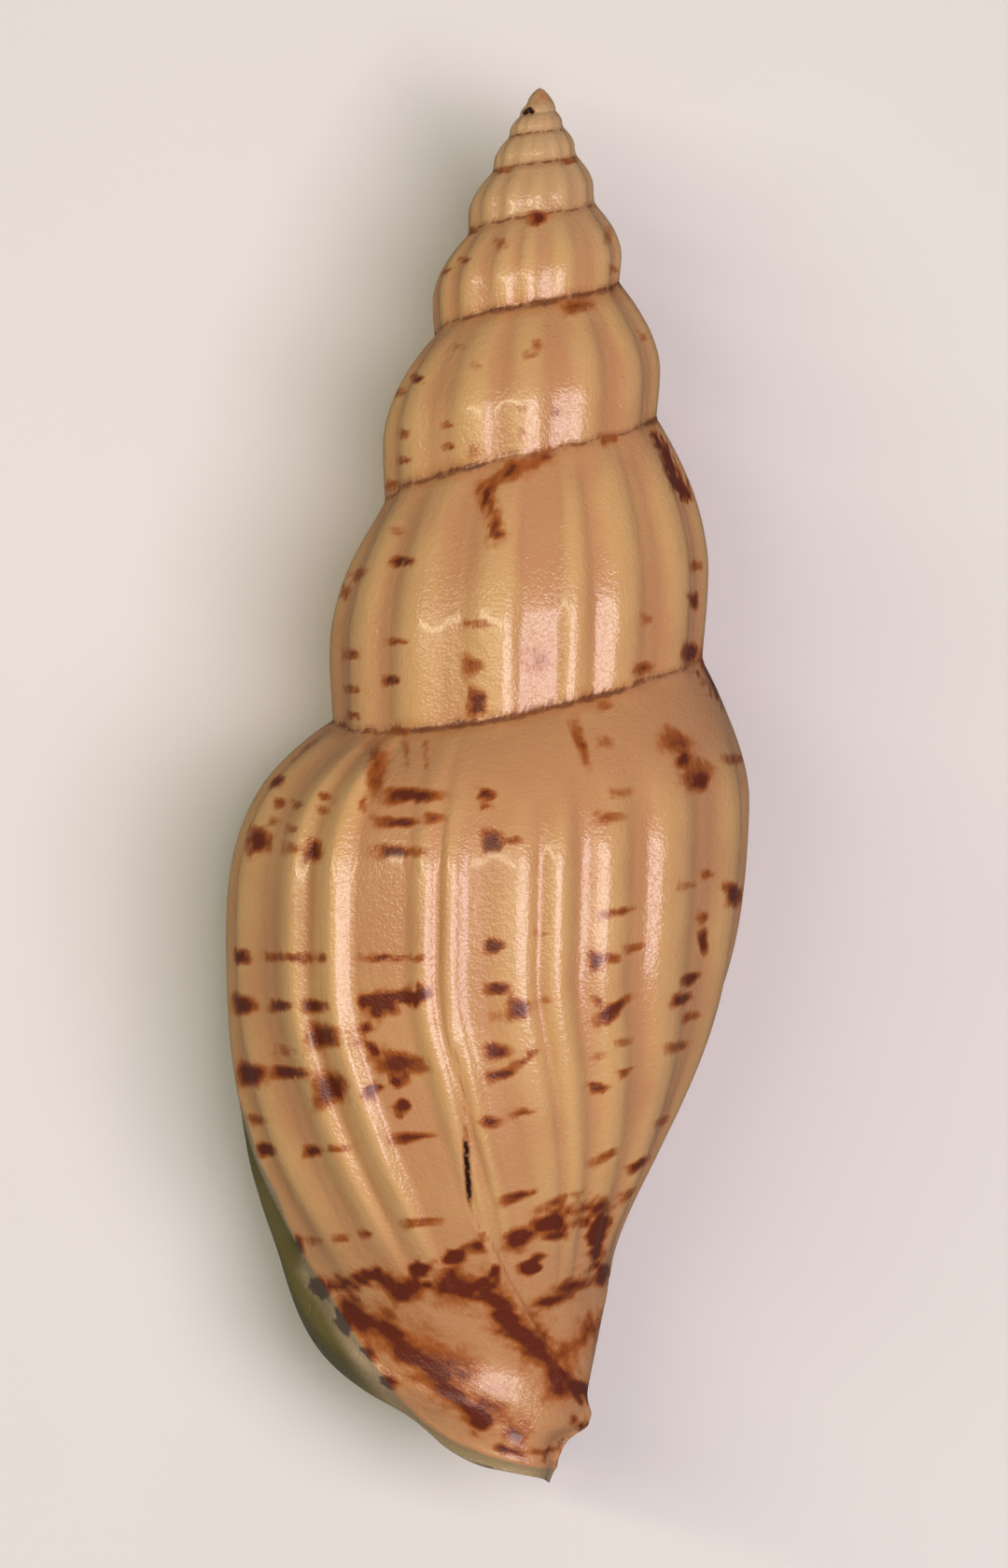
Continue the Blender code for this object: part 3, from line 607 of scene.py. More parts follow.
class Rows:
    """Rows down a whorl: over the spire band, over the lip's rim, and over the rest."""

    def __init__(self, band, rim, body):
        self.band, self.rim = band, rim
        self.index = np.arange(band + rim + body + 1.0)
        self.in_band = np.clip(self.index / band, 0, 1)
        self.in_rim = np.clip((self.index - band) / rim, 0, 1)
        self.in_body = np.clip((self.index - band - rim) / body, 0, 1)
        steps = np.hypot(np.diff(LIP[:, 0]), np.radians(np.diff(LIP[:, 1])) * LIP_RADIUS)
        length = np.concatenate([[0], np.cumsum(steps)])
        x = self.index / self.index[-1]
        at = length[-1] * (x - SHOULDER_CROWD * np.sin(math.pi * x))
        lip_depth = through(length, LIP[:, 0], at)
        self.sweep = (through(length, LIP[:, 1], at) - LIP_ANGLE) / 360
        top = suture(self.sweep)
        self.share = (lip_depth - top) / (end_depth(self.sweep) - top)


class ShellForm:
    """The shell's surface as points, from the sizes that the panel shows."""

    def __init__(self, sizes):
        self.rib_height = sizes.rib_height
        self.wall_thickness = sizes.wall / MM
        self.lip_thickness = sizes.lip_wall / MM
        self.collar_height = sizes.collar_height / MM
        self.collar_width = sizes.collar_width / MM
        self.ribs = all_ribs()

    def colouring(self, u, turn, depth, points):
        """What the material needs to know at each point of the outer surface."""
        line = np.broadcast_to(u[:, None], turn.shape)
        top, bottom = suture(turn), lower_suture(turn)
        back = back_from_lip(line, from_axis(points))
        edge = 1 - ease(back, *(self.collar_width - inside for inside in BAND_EDGE))
        callus = ease(depth - bottom, *CALLUS_DEPTHS) * (1 - ease(line, *CALLUS_TURNS)) * (line >= -1)
        # how near the suture, for its brown line and the painted shade in its crease
        from_seam = np.where(line < -1, np.minimum(depth - top, bottom - depth), depth - top)
        whorl_size = np.clip((bottom - top) / SEAM_WHORL, SEAM_LEAST, 1)
        from_seam = from_seam / np.where(line < -1, whorl_size, 1)
        low = -points[..., 2] / MM
        # the lip's olive, partly its own colour and partly painted shade, also on the lower sides
        # near the lip
        below = RIM_OLIVE_AND_SHADE * np.maximum(edge, ease(depth + low, *SIDE_DEPTHS)) * ease(low, *SIDE_LEVELS)
        lip = np.maximum(beyond_lip_line(points), below)
        scar, open_share = line_distance(points, SCAR)
        open_here = slit(open_share)
        # the healed break's own line, and painted shadow in its open slit
        scar_and_slit_shadow = bell(scar, SCAR_LINE + SLIT_WIDTH * open_here)
        scar_and_slit_shadow = scar_and_slit_shadow * (SCAR_SHADE + (1 - SCAR_SHADE) * open_here)
        # the chip at the apex is filled with painted shadow
        chip = CHIP_SHADE * bell(line_distance(points, CHIP)[0], CHIP_LINE)
        marks = all_marks(turn, depth, points)
        return {
            "crest": rib_shape(u, self.ribs)[:, None] * rib_reach(line, turn, depth),
            "seam": np.maximum(SEAM_REACH - np.maximum(from_seam, 0), 0) * ease(line, *SEAM_TURNS),
            "mouth": callus,
            "lip": lip * (line > -LIP_TURNS) * ease(depth - top, *LIP_TOP),
            "pigment": marks * (1 - callus) - callus, "scar": np.maximum(scar_and_slit_shadow, chip)}

    def wall(self, u, radius, share):
        """Thickness of the outer wall: thick at the lip, thin at the tip by the siphon."""
        lip = self.lip_thickness + (TIP_WALL - self.lip_thickness) * ease(share, *TIP_SHARES)
        near_lip = 1 - ease(back_from_lip(u, radius), *LIP_TAPER)
        return self.wall_thickness + (lip - self.wall_thickness) * near_lip

    def collar(self, u, d, radius):
        """The thick pale band outside the lip's edge."""
        back = back_from_lip(u, radius)
        width = 1 - ease(back, self.collar_width - COLLAR_SLOPE, self.collar_width)
        height = self.collar_height * (1 - COLLAR_FADE * ease(d, *COLLAR_DEPTHS))
        return height * width * ease(d - suture(u), *COLLAR_TOP)

    def places(self, u, rows, ribs):
        """Growth turn and depth of each row at each growth line u."""
        wave = SUTURE_WAVE * rib_shape(u, ribs) * whorl_radius(u)
        next_wave = SUTURE_WAVE * rib_shape(u + 1, ribs) * whorl_radius(u + 1) * (u < -1)
        u = u[:, None]
        t = u + rows.sweep
        top = suture(t)
        low = np.where(u < -1, lower_suture(t), top + suture(0) - suture(-1))
        rim = low + self.wall(np.minimum(u + 1, 0), CORNER_RADIUS, 0) * rows.in_rim
        inner = rim + (end_depth(t) - rim) * rows.in_body
        spire = np.where(rows.index <= rows.band, top + (low - top) * rows.in_band, inner)
        lip = top + rows.share * (end_depth(t) - top)
        late = ease(u, *SPIRAL_TURNS)
        d = spire * (1 - late) + lip * late
        upper = wave[:, None] * (1 - rows.in_band) ** 2
        lower = next_wave[:, None] * rows.in_band ** 2 * (rows.index <= rows.band)
        return t, d - upper - lower

    def outside(self, u, rows):
        """Turn, depth and points of the outer surface with its ribs, collar and folds."""
        t, d = self.places(u, rows, self.ribs)
        radius = outer_radius(t, d)
        size = self.rib_height * whorl_radius(t)
        shape = rib_shape(u, self.ribs)[:, None]
        line = np.broadcast_to(u[:, None], t.shape)
        top = suture(t)
        relief = shape * rib_reach(line, t, d) * size
        # at its upper suture a whorl starts from the ribs of the one before
        earlier = rib_shape(u - 1, self.ribs)[:, None] * EARLIER_RIBS
        earlier = earlier * self.rib_height * whorl_radius(t - 1)
        start = earlier - shape * rib_reach(line, t, top) * size
        shoulder = EARLIER_REACH * np.maximum(lower_suture(t) - top, EARLIER_LEAST * (t > -1))
        relief += start * np.clip(1 - (d - top) / np.maximum(shoulder, LEAST_GAP), 0, 1) ** 2
        collar = self.collar(line, d, radius) * (line > -LIP_TURNS)
        radius += relief + collar + flare(line, d, radius)
        radius += fold_height(t, d) - notch_step(t, d)
        radius = np.where(d > lower_suture(t), np.minimum(radius, self.under_wall(t, d)), radius)
        radius = radius * (1 - nose(t, d))
        worn = self.worn(place(t, d, radius)) * (line >= -1 - len(WHORLS))
        return t, d, place(t, d, radius + worn)

    def worn(self, points):
        """The healed break with newer shell over its edge, the chip at the apex, the lip's ridge."""
        away, open_share = line_distance(points, SCAR)
        over = (1 - ease(away, -SCAR_STEP, SCAR_STEP)) * ease(away, *SCAR_FADE)
        crack = bell(away - CRACK_SHIFT, CRACK_WIDTH)
        crack = crack * (CRACK_HEALED + (1 - CRACK_HEALED) * slit(open_share))
        chip = bell(line_distance(points, CHIP)[0], CHIP_WIDTH)
        ridge = bell(line_distance(points, LIP_LINE)[0], RIDGE_WIDTH)
        return SCAR_HEIGHT * over - SCAR_CRACK * crack - CHIP_DEPTH * chip + LIP_RIDGE * ridge

    def under_wall(self, t, d):
        """The largest radius that leaves room under the next whorl's wall, behind the aperture."""
        room = outer_radius(t + 1, d) - self.wall_thickness - LEAST_ROOM
        return np.where(t < -1, room, np.inf)

    def inside(self, u, rows):
        """The same for the wall's inner face, which meets the whorl before at corner and siphon."""
        t, d = self.places(u, rows, [])
        line = u[:, None]
        radius = outer_radius(t, d)
        from_top = d - suture(t)
        siphon = ease(rows.share, *SIPHON_SHARES)
        lower = d + self.wall(line, CORNER_RADIUS, 0) * (1 - ease(from_top, 0, CORNER_HEIGHT))
        lower += (end_depth(t - 1) - end_depth(t)) * siphon
        floor = outer_radius(t - 1, lower) + fold_height(t - 1, lower)
        floor = np.minimum(floor, self.under_wall(t - 1, lower)) * (1 - nose(t - 1, lower))
        collar = INNER_COLLAR * self.collar(line, d, radius) * (line > -LIP_TURNS)
        lip = collar + flare(line, d, radius)
        room = np.maximum(radius + lip - self.wall(line, radius, rows.share) - floor, LEAST_GAP)
        room = room * ease(from_top, 0, CEILING_RISE) * (1 - ease(rows.share, *CLOSED_SHARES))
        return t, lower, place(t, lower, floor + room)


def place(t, d, radius):
    """Points in metres: the axis along Y with the apex at +Y, the back of the shell up."""
    angle = math.radians(LIP_ANGLE) + 2 * math.pi * t
    return np.stack([radius * np.cos(angle), -d, radius * np.sin(angle)], -1) * MM


def turn_steps(columns):
    """One turn in steps from 0 to 1, closer together where the back of the shell shows."""
    x = np.linspace(0, 1, columns + 1)
    return np.where(x < FINE_SHARE, x * BACK_SHARE / FINE_SHARE,
                    BACK_SHARE + (x - FINE_SHARE) * (1 - BACK_SHARE) / (1 - FINE_SHARE))


def nearest(edge, count):
    """An edge's points picked for a finer edge, so that the two close when merged."""
    return edge[np.round(np.linspace(0, len(edge) - 1, count)).astype(int)]


class Patch:
    """A grid of points, with what the material needs to know at each of them."""

    def __init__(self, points, turn=0.0, depth=0.0, **fields):
        self.points = points
        shape = points.shape[:2]
        self.turn = np.broadcast_to(turn, shape)
        self.depth = np.broadcast_to(depth, shape)
        self.fields = {name: np.broadcast_to(fields.get(name, 0.0), shape) for name in FIELDS}


def spire_patches(form):
    """One grid a whorl, from the apex down, each closed against the whorl before it."""
    made = []
    for back, (columns, band) in reversed(list(enumerate(WHORLS))):
        rows = Rows(band, RIM_ROWS, BODY_ROWS)
        u = turn_steps(columns) - 2 - back
        turn, depth, points = (grid[:, :band + 1] for grid in form.outside(u, rows))
        if made:
            points[:, 0] = nearest(made[-1].points[:, -1], len(points))
            points[0] = nearest(made[-1].points[-1], band + 1)
        marks = form.colouring(u, turn, depth, points)
        made.append(Patch(points, u[:, None], depth, **marks))
    return made


def shell_patches(form):
    """Grids that close the whole shell: spire, body, room behind the lip, rim and ends."""
    made = spire_patches(form)
    apex, last = made[0].points, made[-1].points
    band = WHORLS[0][1]
    rows = Rows(band, RIM_ROWS, BODY_ROWS)
    inner = band + RIM_ROWS
    u = turn_steps(WHORLS[0][0]) - 1
    turn, depth, body = form.outside(u, rows)
    body[:, 0] = last[:, -1]
    body[0, :band + 1] = last[-1]
    made.append(Patch(body, u[:, None], depth, **form.colouring(u, turn, depth, body)))

    u = -ROOM_TURNS * np.linspace(0, 1, ROOM_COLUMNS + 1) ** ROOM_CROWD
    turn, depth, floor = (grid[:, inner:] for grid in form.outside(u - 1, rows))
    made.append(Patch(floor, turn, depth, mouth=1.0))
    turn, depth, ceiling = form.inside(u, rows)
    made.append(Patch(ceiling, turn, depth, mouth=1.0))
    rim = lip_rim(body, ceiling[0], rows)
    around = np.linspace(0, 1, rows.rim + 1)[:, None]
    inner_half = ease(around, *INNER_RIM)
    # the rim's olive, which holds painted shade, over its outer part and fading on its inner half
    lip = np.maximum(RIM_OLIVE_AND_SHADE * ease(around, *OUTER_RIM), beyond_lip_line(rim)) * (1 - inner_half)
    marks = all_marks(np.broadcast_to(rows.sweep, rim.shape[:2]), depth[:1] + 0 * around, rim)
    lip = lip * ease(rows.share, *RIM_CORNER)
    made.append(Patch(rim, 0.0, depth[0], lip=lip, mouth=inner_half, pigment=marks - inner_half))
    deep_floor = np.concatenate([np.repeat(floor[-1:, :1], inner, 1), floor[-1:]], 1)
    made.append(Patch(np.concatenate([ceiling[-1:], deep_floor]), mouth=1.0))
    front = np.concatenate([body[:, -1], rim[1:, -1]])
    front_cap = dome(front, NOTCH_DEPTH + FRONT_BULGE, FRONT_ROUNDNESS)
    made.append(Patch(front_cap, 0.0, NOTCH_DEPTH, mouth=0.5))
    tip = np.concatenate([apex[0, ::-1], apex[1:, 0]])
    made.append(Patch(dome(tip, 0.0, TIP_ROUNDNESS)))
    return made


def lip_rim(body, ceiling, rows):
    """The rounded edge from the outer surface to the inner face, bulging forward."""
    edge = body[-1]
    across = np.linspace(0, math.pi, rows.rim + 1)[:, None, None]
    middle, half = (edge + ceiling) / 2, (edge - ceiling) / 2
    forward = np.cross(half, np.gradient(edge, axis=0))
    forward /= np.linalg.norm(forward, axis=1)[:, None]
    bulge = np.linalg.norm(half, axis=1) * ease(rows.index, 0, RIM_START_ROWS)
    bulge = bulge * (1 - RIM_FLATTENING * ease(rows.share, *FLAT_SHARES))
    rim = middle + np.cos(across) * half + np.sin(across) * forward * bulge[:, None]
    rim[:, 0] = body[0, rows.band:rows.band + rows.rim + 1]
    return rim


def dome(loop, depth, power):
    """Closes a loop with a cap whose pole is on the axis: pointed at power 1, round at 2."""
    pole = np.array([0, -depth * MM, 0])
    layers = [loop]
    for ring in DOME_RINGS:
        layer = loop * ring + pole * (1 - ring)
        layer[:, 1] = pole[1] + (loop[:, 1] - pole[1]) * ring ** power
        layers.append(layer)
    return np.stack([*layers, np.repeat(pole[None], len(loop), 0)])


def ripple(x, y, size, seed):
    """Soft noise of about this size, made of a few crossing waves."""
    random = np.random.default_rng(seed)
    total = np.zeros(np.broadcast(x, y).shape)
    for _ in range(WAVES):
        heading, start = random.uniform(0, 2 * math.pi, 2)
        wave = 2 * math.pi / size * random.uniform(*RIPPLE_SPREAD)
        total += np.sin(wave * (x * math.cos(heading) + y * math.sin(heading)) + start)
    return total / math.sqrt(WAVES)


def mark_shape(across, along, uneven, x0, y0, length, height, lean=0):
    """One mark: 1 in its middle, 0 at its edge, less outside; thinner towards the right."""
    turned = math.radians(lean)
    right, down = across - x0, along - y0
    x = right * math.cos(turned) + down * math.sin(turned) + UNEVEN * uneven
    y = down * math.cos(turned) - right * math.sin(turned) + 0.5 * UNEVEN * uneven
    x = x / ((length + SPREAD) / 2)
    thick = (height + SPREAD) / 2 * (1 - STROKE_TAIL * np.clip(x, -1, 1))
    return 1 - (x ** SQUARENESS + (y / thick) ** SQUARENESS) ** ROLL_OFF


def as_seen(points):
    """Places as seen from above, in mm: across from the apex and along from it."""
    across, along = points[..., 0] / MM, -points[..., 1] / MM
    lean = math.radians(VIEW_LEAN)
    return (across * math.cos(lean) - along * math.sin(lean),
            along * math.cos(lean) + across * math.sin(lean))


def line_distance(points, line, lowest=0.0):
    """Distance in mm from a line, below 0 on its left, FAR under lowest, and the share along it."""
    across, along = as_seen(points)
    least = np.full(across.shape, FAR)
    side, place_on = np.ones(across.shape), np.zeros(across.shape)
    for i, ((x0, y0), (x1, y1)) in enumerate(zip(line, line[1:])):
        run, fall = x1 - x0, y1 - y0
        share = np.clip(((across - x0) * run + (along - y0) * fall) / (run ** 2 + fall ** 2), 0, 1)
        away = np.hypot(across - x0 - share * run, along - y0 - share * fall)
        closer = away < least
        least = np.where(closer, away, least)
        side = np.where(closer, np.sign((across - x0) * fall - (along - y0) * run), side)
        place_on = np.where(closer, (i + share) / (len(line) - 1), place_on)
    return np.where(points[..., 2] / MM > lowest, least * side, FAR), place_on


def slit(share):
    """Where along the healed break it is still open."""
    return ease(share, *SLIT_START) * (1 - ease(share, *SLIT_END))


def beyond_lip_line(points):
    """How far out on the lip's flange, as a share of its width; 0 on the back."""
    away = line_distance(points, LIP_LINE, FLANGE_LOW)[0]
    return np.clip(-away / FLANGE_WIDTH, 0, 1) * ease(as_seen(points)[1], *FLANGE_DEPTHS)


def seen_marks(points, uneven):
    """The marks on the back of the shell, drawn as they are seen from above."""
    across, along = as_seen(points)
    broad = ripple(across, along, *BROAD_RIPPLE)
    field = np.full(across.shape, -1.0)
    for darkness, marks in ((DARK, DARK_MARKS), (RUST, RUST_MARKS), (FAINT, FAINT_MARKS)):
        for mark in marks:
            field = laid_over(field, mark_shape(across, along, uneven, *mark), darkness)
    for darkness, width, line in BANDS:
        away = np.abs(line_distance(points, line)[0]) + BAND_UNEVEN * (uneven + broad)
        field = laid_over(field, 1 - away / (width * BAND_HALO), FAINT)
        field = laid_over(field, 1 - away / ((width + SPREAD) / 2), darkness)
    return field


def laid_over(field, shape, darkness):
    """The marks so far with one more shape, as dark as this where it is 1."""
    return np.maximum(field, np.where(shape > 0, darkness * shape, shape))


def hidden_marks(turn, depth, radius, uneven):
    """Rows of dashes round the side that lies down, in the manner of those on the back."""
    random = np.random.default_rng(MARK_SEED)
    angle = (LIP_ANGLE + 360 * turn) % 360
    field = np.full(depth.shape, -1.0)
    for row in MARK_ROWS:
        for _ in range(MARKS_A_ROW):
            at, drop = random.uniform(*ROW_ANGLES), random.normal(0, ROW_SPREAD)
            length, height = random.uniform(*DASH_LENGTHS), random.uniform(*DASH_HEIGHTS)
            lean, darkness = random.uniform(*DASH_LEANS), random.choice([DARK, DARK, RUST, FAINT])
            away = (angle - at % 360 + 180) % 360 - 180
            across, along = -np.radians(away) * radius, depth + ROW_SLOPE * away
            shape = mark_shape(across, along, uneven, 0, row + drop, length, height, lean)
            field = laid_over(field, shape, darkness)
    return field


def all_marks(turn, depth, points):
    """The marks as seen from above, and those round the sides that lie down."""
    radius = from_axis(points)
    uneven = ripple(radius * 2 * math.pi * turn, depth, *FINE_RIPPLE)
    facing = ease(points[..., 2] / MM, *FACING)
    hidden = hidden_marks(turn, depth, radius, uneven)
    return seen_marks(points, uneven) * facing + hidden * (1 - facing)


def add_grid(patch):
    """A grid moved into the patch's shape, with its fields as attributes."""
    across, along = patch.points.shape[:2]
    bpy.ops.mesh.primitive_grid_add(x_subdivisions=along - 1, y_subdivisions=across - 1)
    grid = bpy.context.object
    grid.data.vertices.foreach_set("co", patch.points.ravel())
    for name, values in patch.fields.items():
        attribute = grid.data.attributes.new(name, "FLOAT", "POINT")
        attribute.data.foreach_set("value", values.ravel())
    growth = np.stack([patch.turn * GROWTH_SCALE, patch.depth, patch.turn * 0], -1)
    attribute = grid.data.attributes.new("growth", "FLOAT_VECTOR", "POINT")
    attribute.data.foreach_set("vector", growth.ravel())
    return grid


def signed_volume(shell):
    """Six times the volume inside a closed shell in edit mode, negative where faces point in."""
    shell.update_from_editmode()
    mesh = shell.data
    mesh.calc_loop_triangles()
    corners = np.empty(len(mesh.loop_triangles) * 3, np.int32)
    mesh.loop_triangles.foreach_get("vertices", corners)
    places = np.empty(len(mesh.vertices) * 3)
    mesh.vertices.foreach_get("co", places)
    return np.linalg.det(places.reshape(-1, 3)[corners.reshape(-1, 3)]).sum()


def lying():
    """The turn from the shell's own axis to how it lies."""
    roll = Matrix.Rotation(math.radians(REST_ROLL), 4, "Y")
    return Matrix.Rotation(math.radians(REST_PITCH), 4, "X") @ roll


def rest(mesh):
    """Lays the shell down on its lip and belly, worn flat where it touches."""
    mesh.transform(lying())
    places = np.empty(len(mesh.vertices) * 3)
    mesh.vertices.foreach_get("co", places)
    places = places.reshape(-1, 3)
    low, high = places.min(0), places.max(0)
    middle = (np.array(CAD_LOW) + np.array(CAD_HIGH)) / 2
    shift = middle - (low + high) / 2
    shift[2] = -low[2] - REST_WEAR * MM
    places = places + shift
    places[:, 2] = np.maximum(places[:, 2], 0)
    mesh.vertices.foreach_set("co", places.ravel())
    mesh.update()


class Shade:
    """A shader socket that takes part in Python arithmetic."""

    def __init__(self, tree, socket=None):
        self.tree, self.socket = tree, socket

    def node(self, kind, settings, inputs, output=0):
        """A new node: its settings first, then the values or links of its sockets."""
        made = self.tree.nodes.new(kind)
        for name, value in settings.items():
            setattr(made, name, value)
        for name, value in inputs.items():
            if isinstance(value, Shade):
                self.tree.links.new(value.socket, made.inputs[name])
            else:
                made.inputs[name].default_value = value
        return Shade(self.tree, made.outputs[output])

    def math(self, operation, *values):
        """A Math node on these values."""
        return self.node("ShaderNodeMath", {"operation": operation}, dict(enumerate(values)))

    def __add__(self, other):
        return self.math("ADD", self, other)

    def __radd__(self, other):
        return self.math("ADD", other, self)

    def __sub__(self, other):
        return self.math("SUBTRACT", self, other)

    def __rsub__(self, other):
        return self.math("SUBTRACT", other, self)

    def __mul__(self, other):
        return self.math("MULTIPLY", self, other)

    def __rmul__(self, other):
        return self.math("MULTIPLY", other, self)

    def smooth(self, start, end):
        """0 below start, 1 above end, and eased in between."""
        settings = {"interpolation_type": "SMOOTHSTEP"}
        return self.node("ShaderNodeMapRange", settings, {0: self, 1: start, 2: end})

    def mix(self, first, second):
        """From the first colour to the second as this goes from 0 to 1."""
        return self.node("ShaderNodeMix", {"data_type": "RGBA"}, {0: self, 6: first, 7: second}, 2)

    def stain(self, base, colour, start, end, strength):
        """The base colour with another over it, more of it as this goes from start to end."""
        return (self.smooth(start, end) * strength).mix(base, colour)

    def scaled(self, sizes):
        """This position, stretched by a number for each axis."""
        return self.node("ShaderNodeVectorMath", {"operation": "MULTIPLY"}, {0: self, 1: sizes})

    def noise(self, scale, detail, roughness=0.5):
        """Noise from -0.5 to 0.5 over this position, about this many waves to a unit."""
        return self.node("ShaderNodeTexNoise", {}, {
            "Vector": self, "Scale": scale, "Detail": detail, "Roughness": roughness}) - 0.5


def new_material(name):
    """An empty node material, its Principled BSDF and a start for its sums."""
    material = bpy.data.materials.new(name)
    material.use_nodes = True
    tree = material.node_tree
    return material, tree.nodes["Principled BSDF"], Shade(tree)


def mesh_value(shade, name):
    """What the mesh tells the material under this name."""
    return shade.node("ShaderNodeAttribute", {"attribute_name": name}, {}, "Fac")


def shell_material(colours, finish):
    """Glossy porcelain: cream ribs, peach grooves, and chestnut marks with a rusty edge."""
    material, surface, shade = new_material("porcelain shell")
    place_mm = shade.node("ShaderNodeTexCoord", {}, {}, "Object").scaled((1 / MM,) * 3)
    growth = shade.node("ShaderNodeAttribute", {"attribute_name": "growth"}, {}, "Vector")
    clouds, clumps = place_mm.noise(CLOUDS, 3), place_mm.noise(CLUMPS, 3, 0.6)
    grain, peel, pores = place_mm.noise(GRAIN, 2), place_mm.noise(PEEL, 1), place_mm.noise(PORES, 1)
    streaks, threads = growth.scaled(STREAKS).noise(1, 3, 0.6), growth.scaled(THREADS).noise(1, 2)
    along = shade.node("ShaderNodeSeparateXYZ", {}, {0: growth}, "Y")
    crest, seam, mouth, lip, pigment, scar = (
        mesh_value(shade, name) for name in ("crest", "seam", "mouth", "lip", "pigment", "scar"))

    pale = (crest * 0.7 + clouds * 1.6 + streaks * 0.3 + 0.15).smooth(0, 1)
    base = pale.mix(colours.groove, colours.crest)
    base = ((1 - along.smooth(*YOUNG_DEPTHS)) * YOUNG_STRENGTH).mix(base, colours.young)
    base = (clouds * 0.6 + streaks * 0.6).stain(base, colours.warm, *WARM_CLOUDS)
    # along each suture a rusty blush and a brown line: partly the shell's own colour, partly painted
    # shade in the crease where the whorls meet
    base = (seam + clouds * 1.8).stain(base, colours.halo, *SUTURE_BLUSH_AND_SHADE)
    base = (seam + clouds * 0.5 + clumps * 0.4).stain(base, colours.seam, *SUTURE_LINE_AND_SHADE)

    stained = pigment + threads * 0.35 + clumps * 1.1
    base = stained.stain(base, colours.halo, *MARK_EDGE)
    base = stained.stain(base, colours.rust, *MARK_BODY)
    base = stained.stain(base, colours.chestnut, *MARK_CENTRE)
    # the healed break's rusty line, then near black as painted shadow in its open slit and the chip
    break_and_crack_shadow = scar + clumps * 0.2
    base = break_and_crack_shadow.stain(base, colours.rust, *CRACK_EDGE)
    base = break_and_crack_shadow.stain(base, colours.crack, *CRACK_SHADOW)

    inner = (clouds.smooth(-0.2, 0.2) * 0.5).mix(colours.mouth, colours.crest)
    base = mouth.smooth(0.05, 0.8).mix(base, inner)
    # the lip's flange: grey cream beside the lip line, partly a painted highlight on its ridge, then
    # olive, partly the lip's own colour and partly painted shade
    rim = (lip + clouds * 0.3).smooth(0.15, 0.55).mix(colours.lip_band_and_highlight, colours.lip)
    rim = along.smooth(*FRONT_DEPTHS).mix(rim, colours.edge)
    rim = stained.stain(rim, colours.bruise, *LIP_BRUISE)
    base = lip.smooth(0.01, 0.08).mix(base, rim)
    shade.tree.links.new(base.socket, surface.inputs["Base Color"])

    dull = stained.smooth(0.3, 0.9) * 0.16
    rough = grain * 0.1 + streaks * 0.1 + dull + finish.roughness
    shade.tree.links.new(rough.socket, surface.inputs["Roughness"])
    height = peel * 0.035 + pores * 0.042 + threads * 0.008 + streaks * 0.03
    bump = shade.node("ShaderNodeBump", {}, {
        "Strength": finish.relief, "Distance": MM, "Height": height})
    shade.tree.links.new(bump.socket, surface.inputs["Normal"])
    for name, value in GLAZE.items():
        surface.inputs[name].default_value = value
    return material


def floor_material(colours):
    """A matt pale board with the faintest mottling."""
    material, surface, shade = new_material("pale floor")
    place_m = shade.node("ShaderNodeTexCoord", {}, {}, "Object")
    mottle = place_m.noise(FLOOR_MOTTLE, 4) + 0.5
    darker = tuple(FLOOR_SHADE * value for value in colours.floor[:3]) + (1,)
    shade.tree.links.new(mottle.mix(darker, colours.floor).socket, surface.inputs["Base Color"])
    surface.inputs["Roughness"].default_value = FLOOR_ROUGHNESS
    return material


def colour_property(name, description, red, green, blue):
    return bpy.props.FloatVectorProperty(
        name=name, description=description, subtype="COLOR", size=4, min=0, max=1,
        default=(red, green, blue, 1))


def length_property(name, description, millimetres):
    return bpy.props.FloatProperty(
        name=name, description=description, subtype="DISTANCE", unit="LENGTH", min=0,
        default=millimetres * MM)


class ShellSizes(bpy.types.PropertyGroup):
    """Sizes that shape the shell."""

    wall: length_property("Wall", "Thickness of the shell's wall away from the lip", 1.3)
    lip_wall: length_property("Lip", "Thickness of the outer lip", 2.9)
    collar_height: length_property("Collar height", "How far the lip's band stands out", 1.15)
    collar_width: length_property("Collar width", "How wide the lip's band is", 4.5)
    rib_height: bpy.props.FloatProperty(
        name="Rib height", description="Height of the ribs, as a share of the whorl's radius",
        subtype="FACTOR", min=0, max=0.2, default=0.04)


